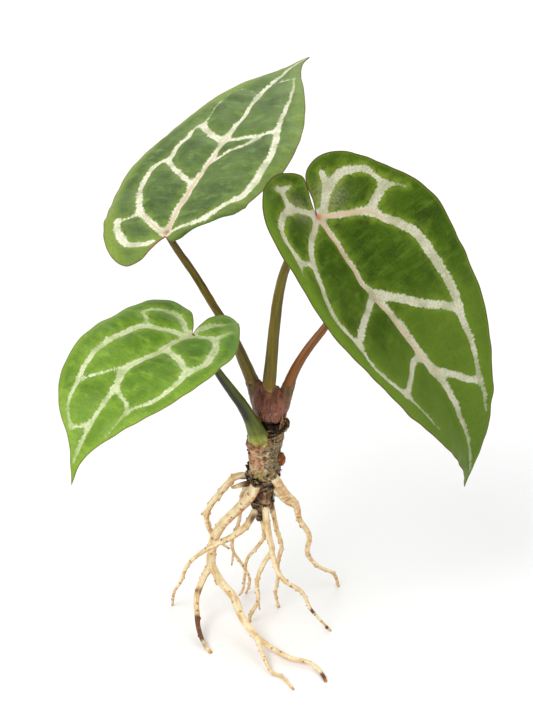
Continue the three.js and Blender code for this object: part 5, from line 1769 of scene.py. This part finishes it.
class StageSettings(bpy.types.PropertyGroup):
    floor_colour: FloatVectorProperty(
        name="Floor", description="Colour of the pale floor", size=3, default=(0.93, 0.93, 0.93),
        min=0, max=1, subtype="COLOR")
    floor_size: FloatProperty(
        name="Floor size", description="Width of the floor", default=8.0,
        unit="LENGTH", subtype="DISTANCE")
    camera_distance: FloatProperty(
        name="Camera distance", description="From the camera to the plant's middle", default=0.8,
        unit="LENGTH", subtype="DISTANCE")
    camera_tilt: FloatProperty(
        name="Camera tilt", description="How far down the camera looks", default=math.radians(28),
        unit="ROTATION", subtype="ANGLE")
    lens: FloatProperty(
        name="Lens", description="Focal length", default=121.5, unit="CAMERA", subtype="DISTANCE_CAMERA")


class PLANT_OT_leaves(bpy.types.Operator):
    """Add the three open leaves"""

    bl_idname = "plant.add_leaves"
    bl_label = "Leaves"

    def execute(self, context):
        for which in LEAVES:
            add_blade(which)
        return {"FINISHED"}


class PLANT_OT_young_leaf(bpy.types.Operator):
    """Add the young leaf, still rolled"""

    bl_idname = "plant.add_young_leaf"
    bl_label = "Young leaf"

    def execute(self, context):
        add_young_blade()
        return {"FINISHED"}


class PLANT_OT_stalks(bpy.types.Operator):
    """Add the four leaf stalks"""

    bl_idname = "plant.add_stalks"
    bl_label = "Stalks"

    def execute(self, context):
        for name, route in STALKS.items():
            add_stalk(name, route)
        return {"FINISHED"}


class PLANT_OT_sheath(bpy.types.Operator):
    """Add the sheath that the young stalks stand in, with the dry scraps round its foot"""

    bl_idname = "plant.add_sheath"
    bl_label = "Sheath"

    def execute(self, context):
        add_sheath()
        scraps = join("sheath_scraps", [add_scrap(i, *scrap) for i, scrap in enumerate(SCRAPS)])
        settle(scraps, None, "sheath", scrap_material(), angle=50)
        return {"FINISHED"}


class PLANT_OT_collar(bpy.types.Operator):
    """Add the torn collar round the stem's top, and its knob"""

    bl_idname = "plant.add_collar"
    bl_label = "Collar"

    def execute(self, context):
        add_collar()
        knob = add_ball("collar_lump", KNOB, 71, 0.14)
        material = bark_material("knob_bark", paint(24, 14, 9), paint(92, 54, 28), paint(206, 142, 70))
        settle(knob, "collar_knob", "collar", material)
        return {"FINISHED"}


class PLANT_OT_stem(bpy.types.Operator):
    """Add the stem with its fibres, crumbs and root bud"""

    bl_idname = "plant.add_stem"
    bl_label = "Stem"

    def execute(self, context):
        add_stem()
        pale = bark_material(
            "stem_shreds", paint(112, 78, 50), paint(198, 166, 122), paint(226, 204, 166),
            mixing=(0.35, 0.6))
        add_shreds("stem_shreds", LIGHT_SHREDS, 8, pale, scar_lines())
        dark = bark_material("stem_rootlets", paint(34, 21, 13), paint(104, 70, 44), paint(150, 112, 72))
        add_shreds("stem_rootlets", DARK_SHREDS, 9, dark)
        add_crumbs()
        bud = add_ball("bud_skin", BUD, 81, 0.09)
        material = bark_material(
            "bud_skin", paint(92, 42, 14), paint(178, 98, 46), paint(200, 130, 70), (0.45, 0.65))
        settle(bud, "root_bud", "bud", material)
        return {"FINISHED"}


class PLANT_OT_roots(bpy.types.Operator):
    """Add the spreading roots"""

    bl_idname = "plant.add_roots"
    bl_label = "Roots"

    def execute(self, context):
        material = root_material()
        for name, branches in ROOTS.items():
            add_root(name, branches, material)
        return {"FINISHED"}


class PLANT_OT_stage(bpy.types.Operator):
    """Add the floor, the lights and the camera"""

    bl_idname = "plant.add_stage"
    bl_label = "Stage"

    def execute(self, context):
        add_stage(context, context.scene.plant_stage)
        return {"FINISHED"}


# Each light: its place and the point it looks at, in millimetres, its width in metres and power.
LIGHTS = [
    ("key_light", (-650, -700, 1150), (0, 0, 100), 1.0, 14.5),
    ("fill_light", (900, -500, 700), (0, 0, 90), 1.1, 4),
    ("back_light", (100, 900, 900), (0, 0, 100), 1.0, 4.5),
]
SKY_STRENGTH = 0.56
CAMERA_TARGET = (0.829, 0, 106.9)


def look_at(holder, place, target):
    """Puts a lamp or camera at a place and turns it to a target."""
    holder.location = place
    holder.rotation_euler = (Vector(target) - Vector(place)).to_track_quat("-Z", "Y").to_euler()


def add_stage(context, settings):
    """A wide pale floor, soft light from large lamps and the sky, and the camera."""
    deselect()
    bpy.ops.mesh.primitive_plane_add(size=settings.floor_size)
    floor = context.object
    floor.name = floor.data.name = "stage_floor"
    material, _, shader = start_material("stage_floor", Roughness=0.9)
    shader.inputs["Base Color"].default_value = (*settings.floor_colour, 1)
    floor.data.materials.append(material)
    floor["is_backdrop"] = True
    for name, place, target, width, power in LIGHTS:
        bpy.ops.object.light_add(type="AREA")
        lamp = context.object
        lamp.name = lamp.data.name = name
        lamp.data.size = width
        lamp.data.energy = power
        look_at(lamp, (np.array(place) + SHIFT) * MM, (np.array(target) + SHIFT) * MM)
    world = bpy.data.worlds.new("studio")
    world.use_nodes = True
    sky = world.node_tree.nodes["Background"]
    sky.inputs["Color"].default_value = (1, 1, 1, 1)
    sky.inputs["Strength"].default_value = SKY_STRENGTH
    context.scene.world = world
    target = (np.array(CAMERA_TARGET) + SHIFT) * MM
    back = np.array([0, -math.cos(settings.camera_tilt), math.sin(settings.camera_tilt)])
    bpy.ops.object.camera_add()
    camera = context.object
    camera.name = camera.data.name = "camera"
    camera.data.lens = settings.lens
    camera.data.sensor_width = 36
    look_at(camera, target + back * settings.camera_distance, target)
    context.scene.camera = camera
    context.scene.view_settings.view_transform = "Standard"


class PLANT_PT_panel(bpy.types.Panel):
    """Lists the plant's pieces and settings"""

    bl_idname = "PLANT_PT_panel"
    bl_label = "Plant"
    bl_space_type = "VIEW_3D"
    bl_region_type = "UI"
    bl_category = "Plant"

    def draw(self, context):
        for operator in OPERATORS:
            self.layout.operator(operator.bl_idname)
        for group in (context.scene.plant_leaves, context.scene.plant_stage):
            box = self.layout.box()
            for name in group.__annotations__:
                box.prop(group, name)


OPERATORS = (
    PLANT_OT_stage, PLANT_OT_leaves, PLANT_OT_young_leaf, PLANT_OT_stalks, PLANT_OT_sheath,
    PLANT_OT_collar, PLANT_OT_stem, PLANT_OT_roots,
)
CLASSES = (LeafSettings, StageSettings, *OPERATORS, PLANT_PT_panel)


def register():
    """Adds the operators, the panel and their settings."""
    for cls in CLASSES:
        bpy.utils.register_class(cls)
    bpy.types.Scene.plant_leaves = PointerProperty(type=LeafSettings)
    bpy.types.Scene.plant_stage = PointerProperty(type=StageSettings)


def unregister():
    """Takes out what register() added."""
    del bpy.types.Scene.plant_stage
    del bpy.types.Scene.plant_leaves
    for cls in reversed(CLASSES):
        bpy.utils.unregister_class(cls)


def main():
    """Builds the plant and its stage, and measures the size of the solids and of the pieces."""
    register()
    bpy.ops.plant.add_stage()
    bpy.ops.plant.add_leaves()
    bpy.ops.plant.add_young_leaf()
    bpy.ops.plant.add_stalks()
    bpy.ops.plant.add_sheath()
    bpy.ops.plant.add_collar()
    bpy.ops.plant.add_stem()
    bpy.ops.plant.add_roots()
    boxes = {"cad": CAD_BOX, "visual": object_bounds()}
    plain = {name: [list(map(float, corner)) for corner in box] for name, box in boxes.items()}


if __name__ == "__main__":
    main()
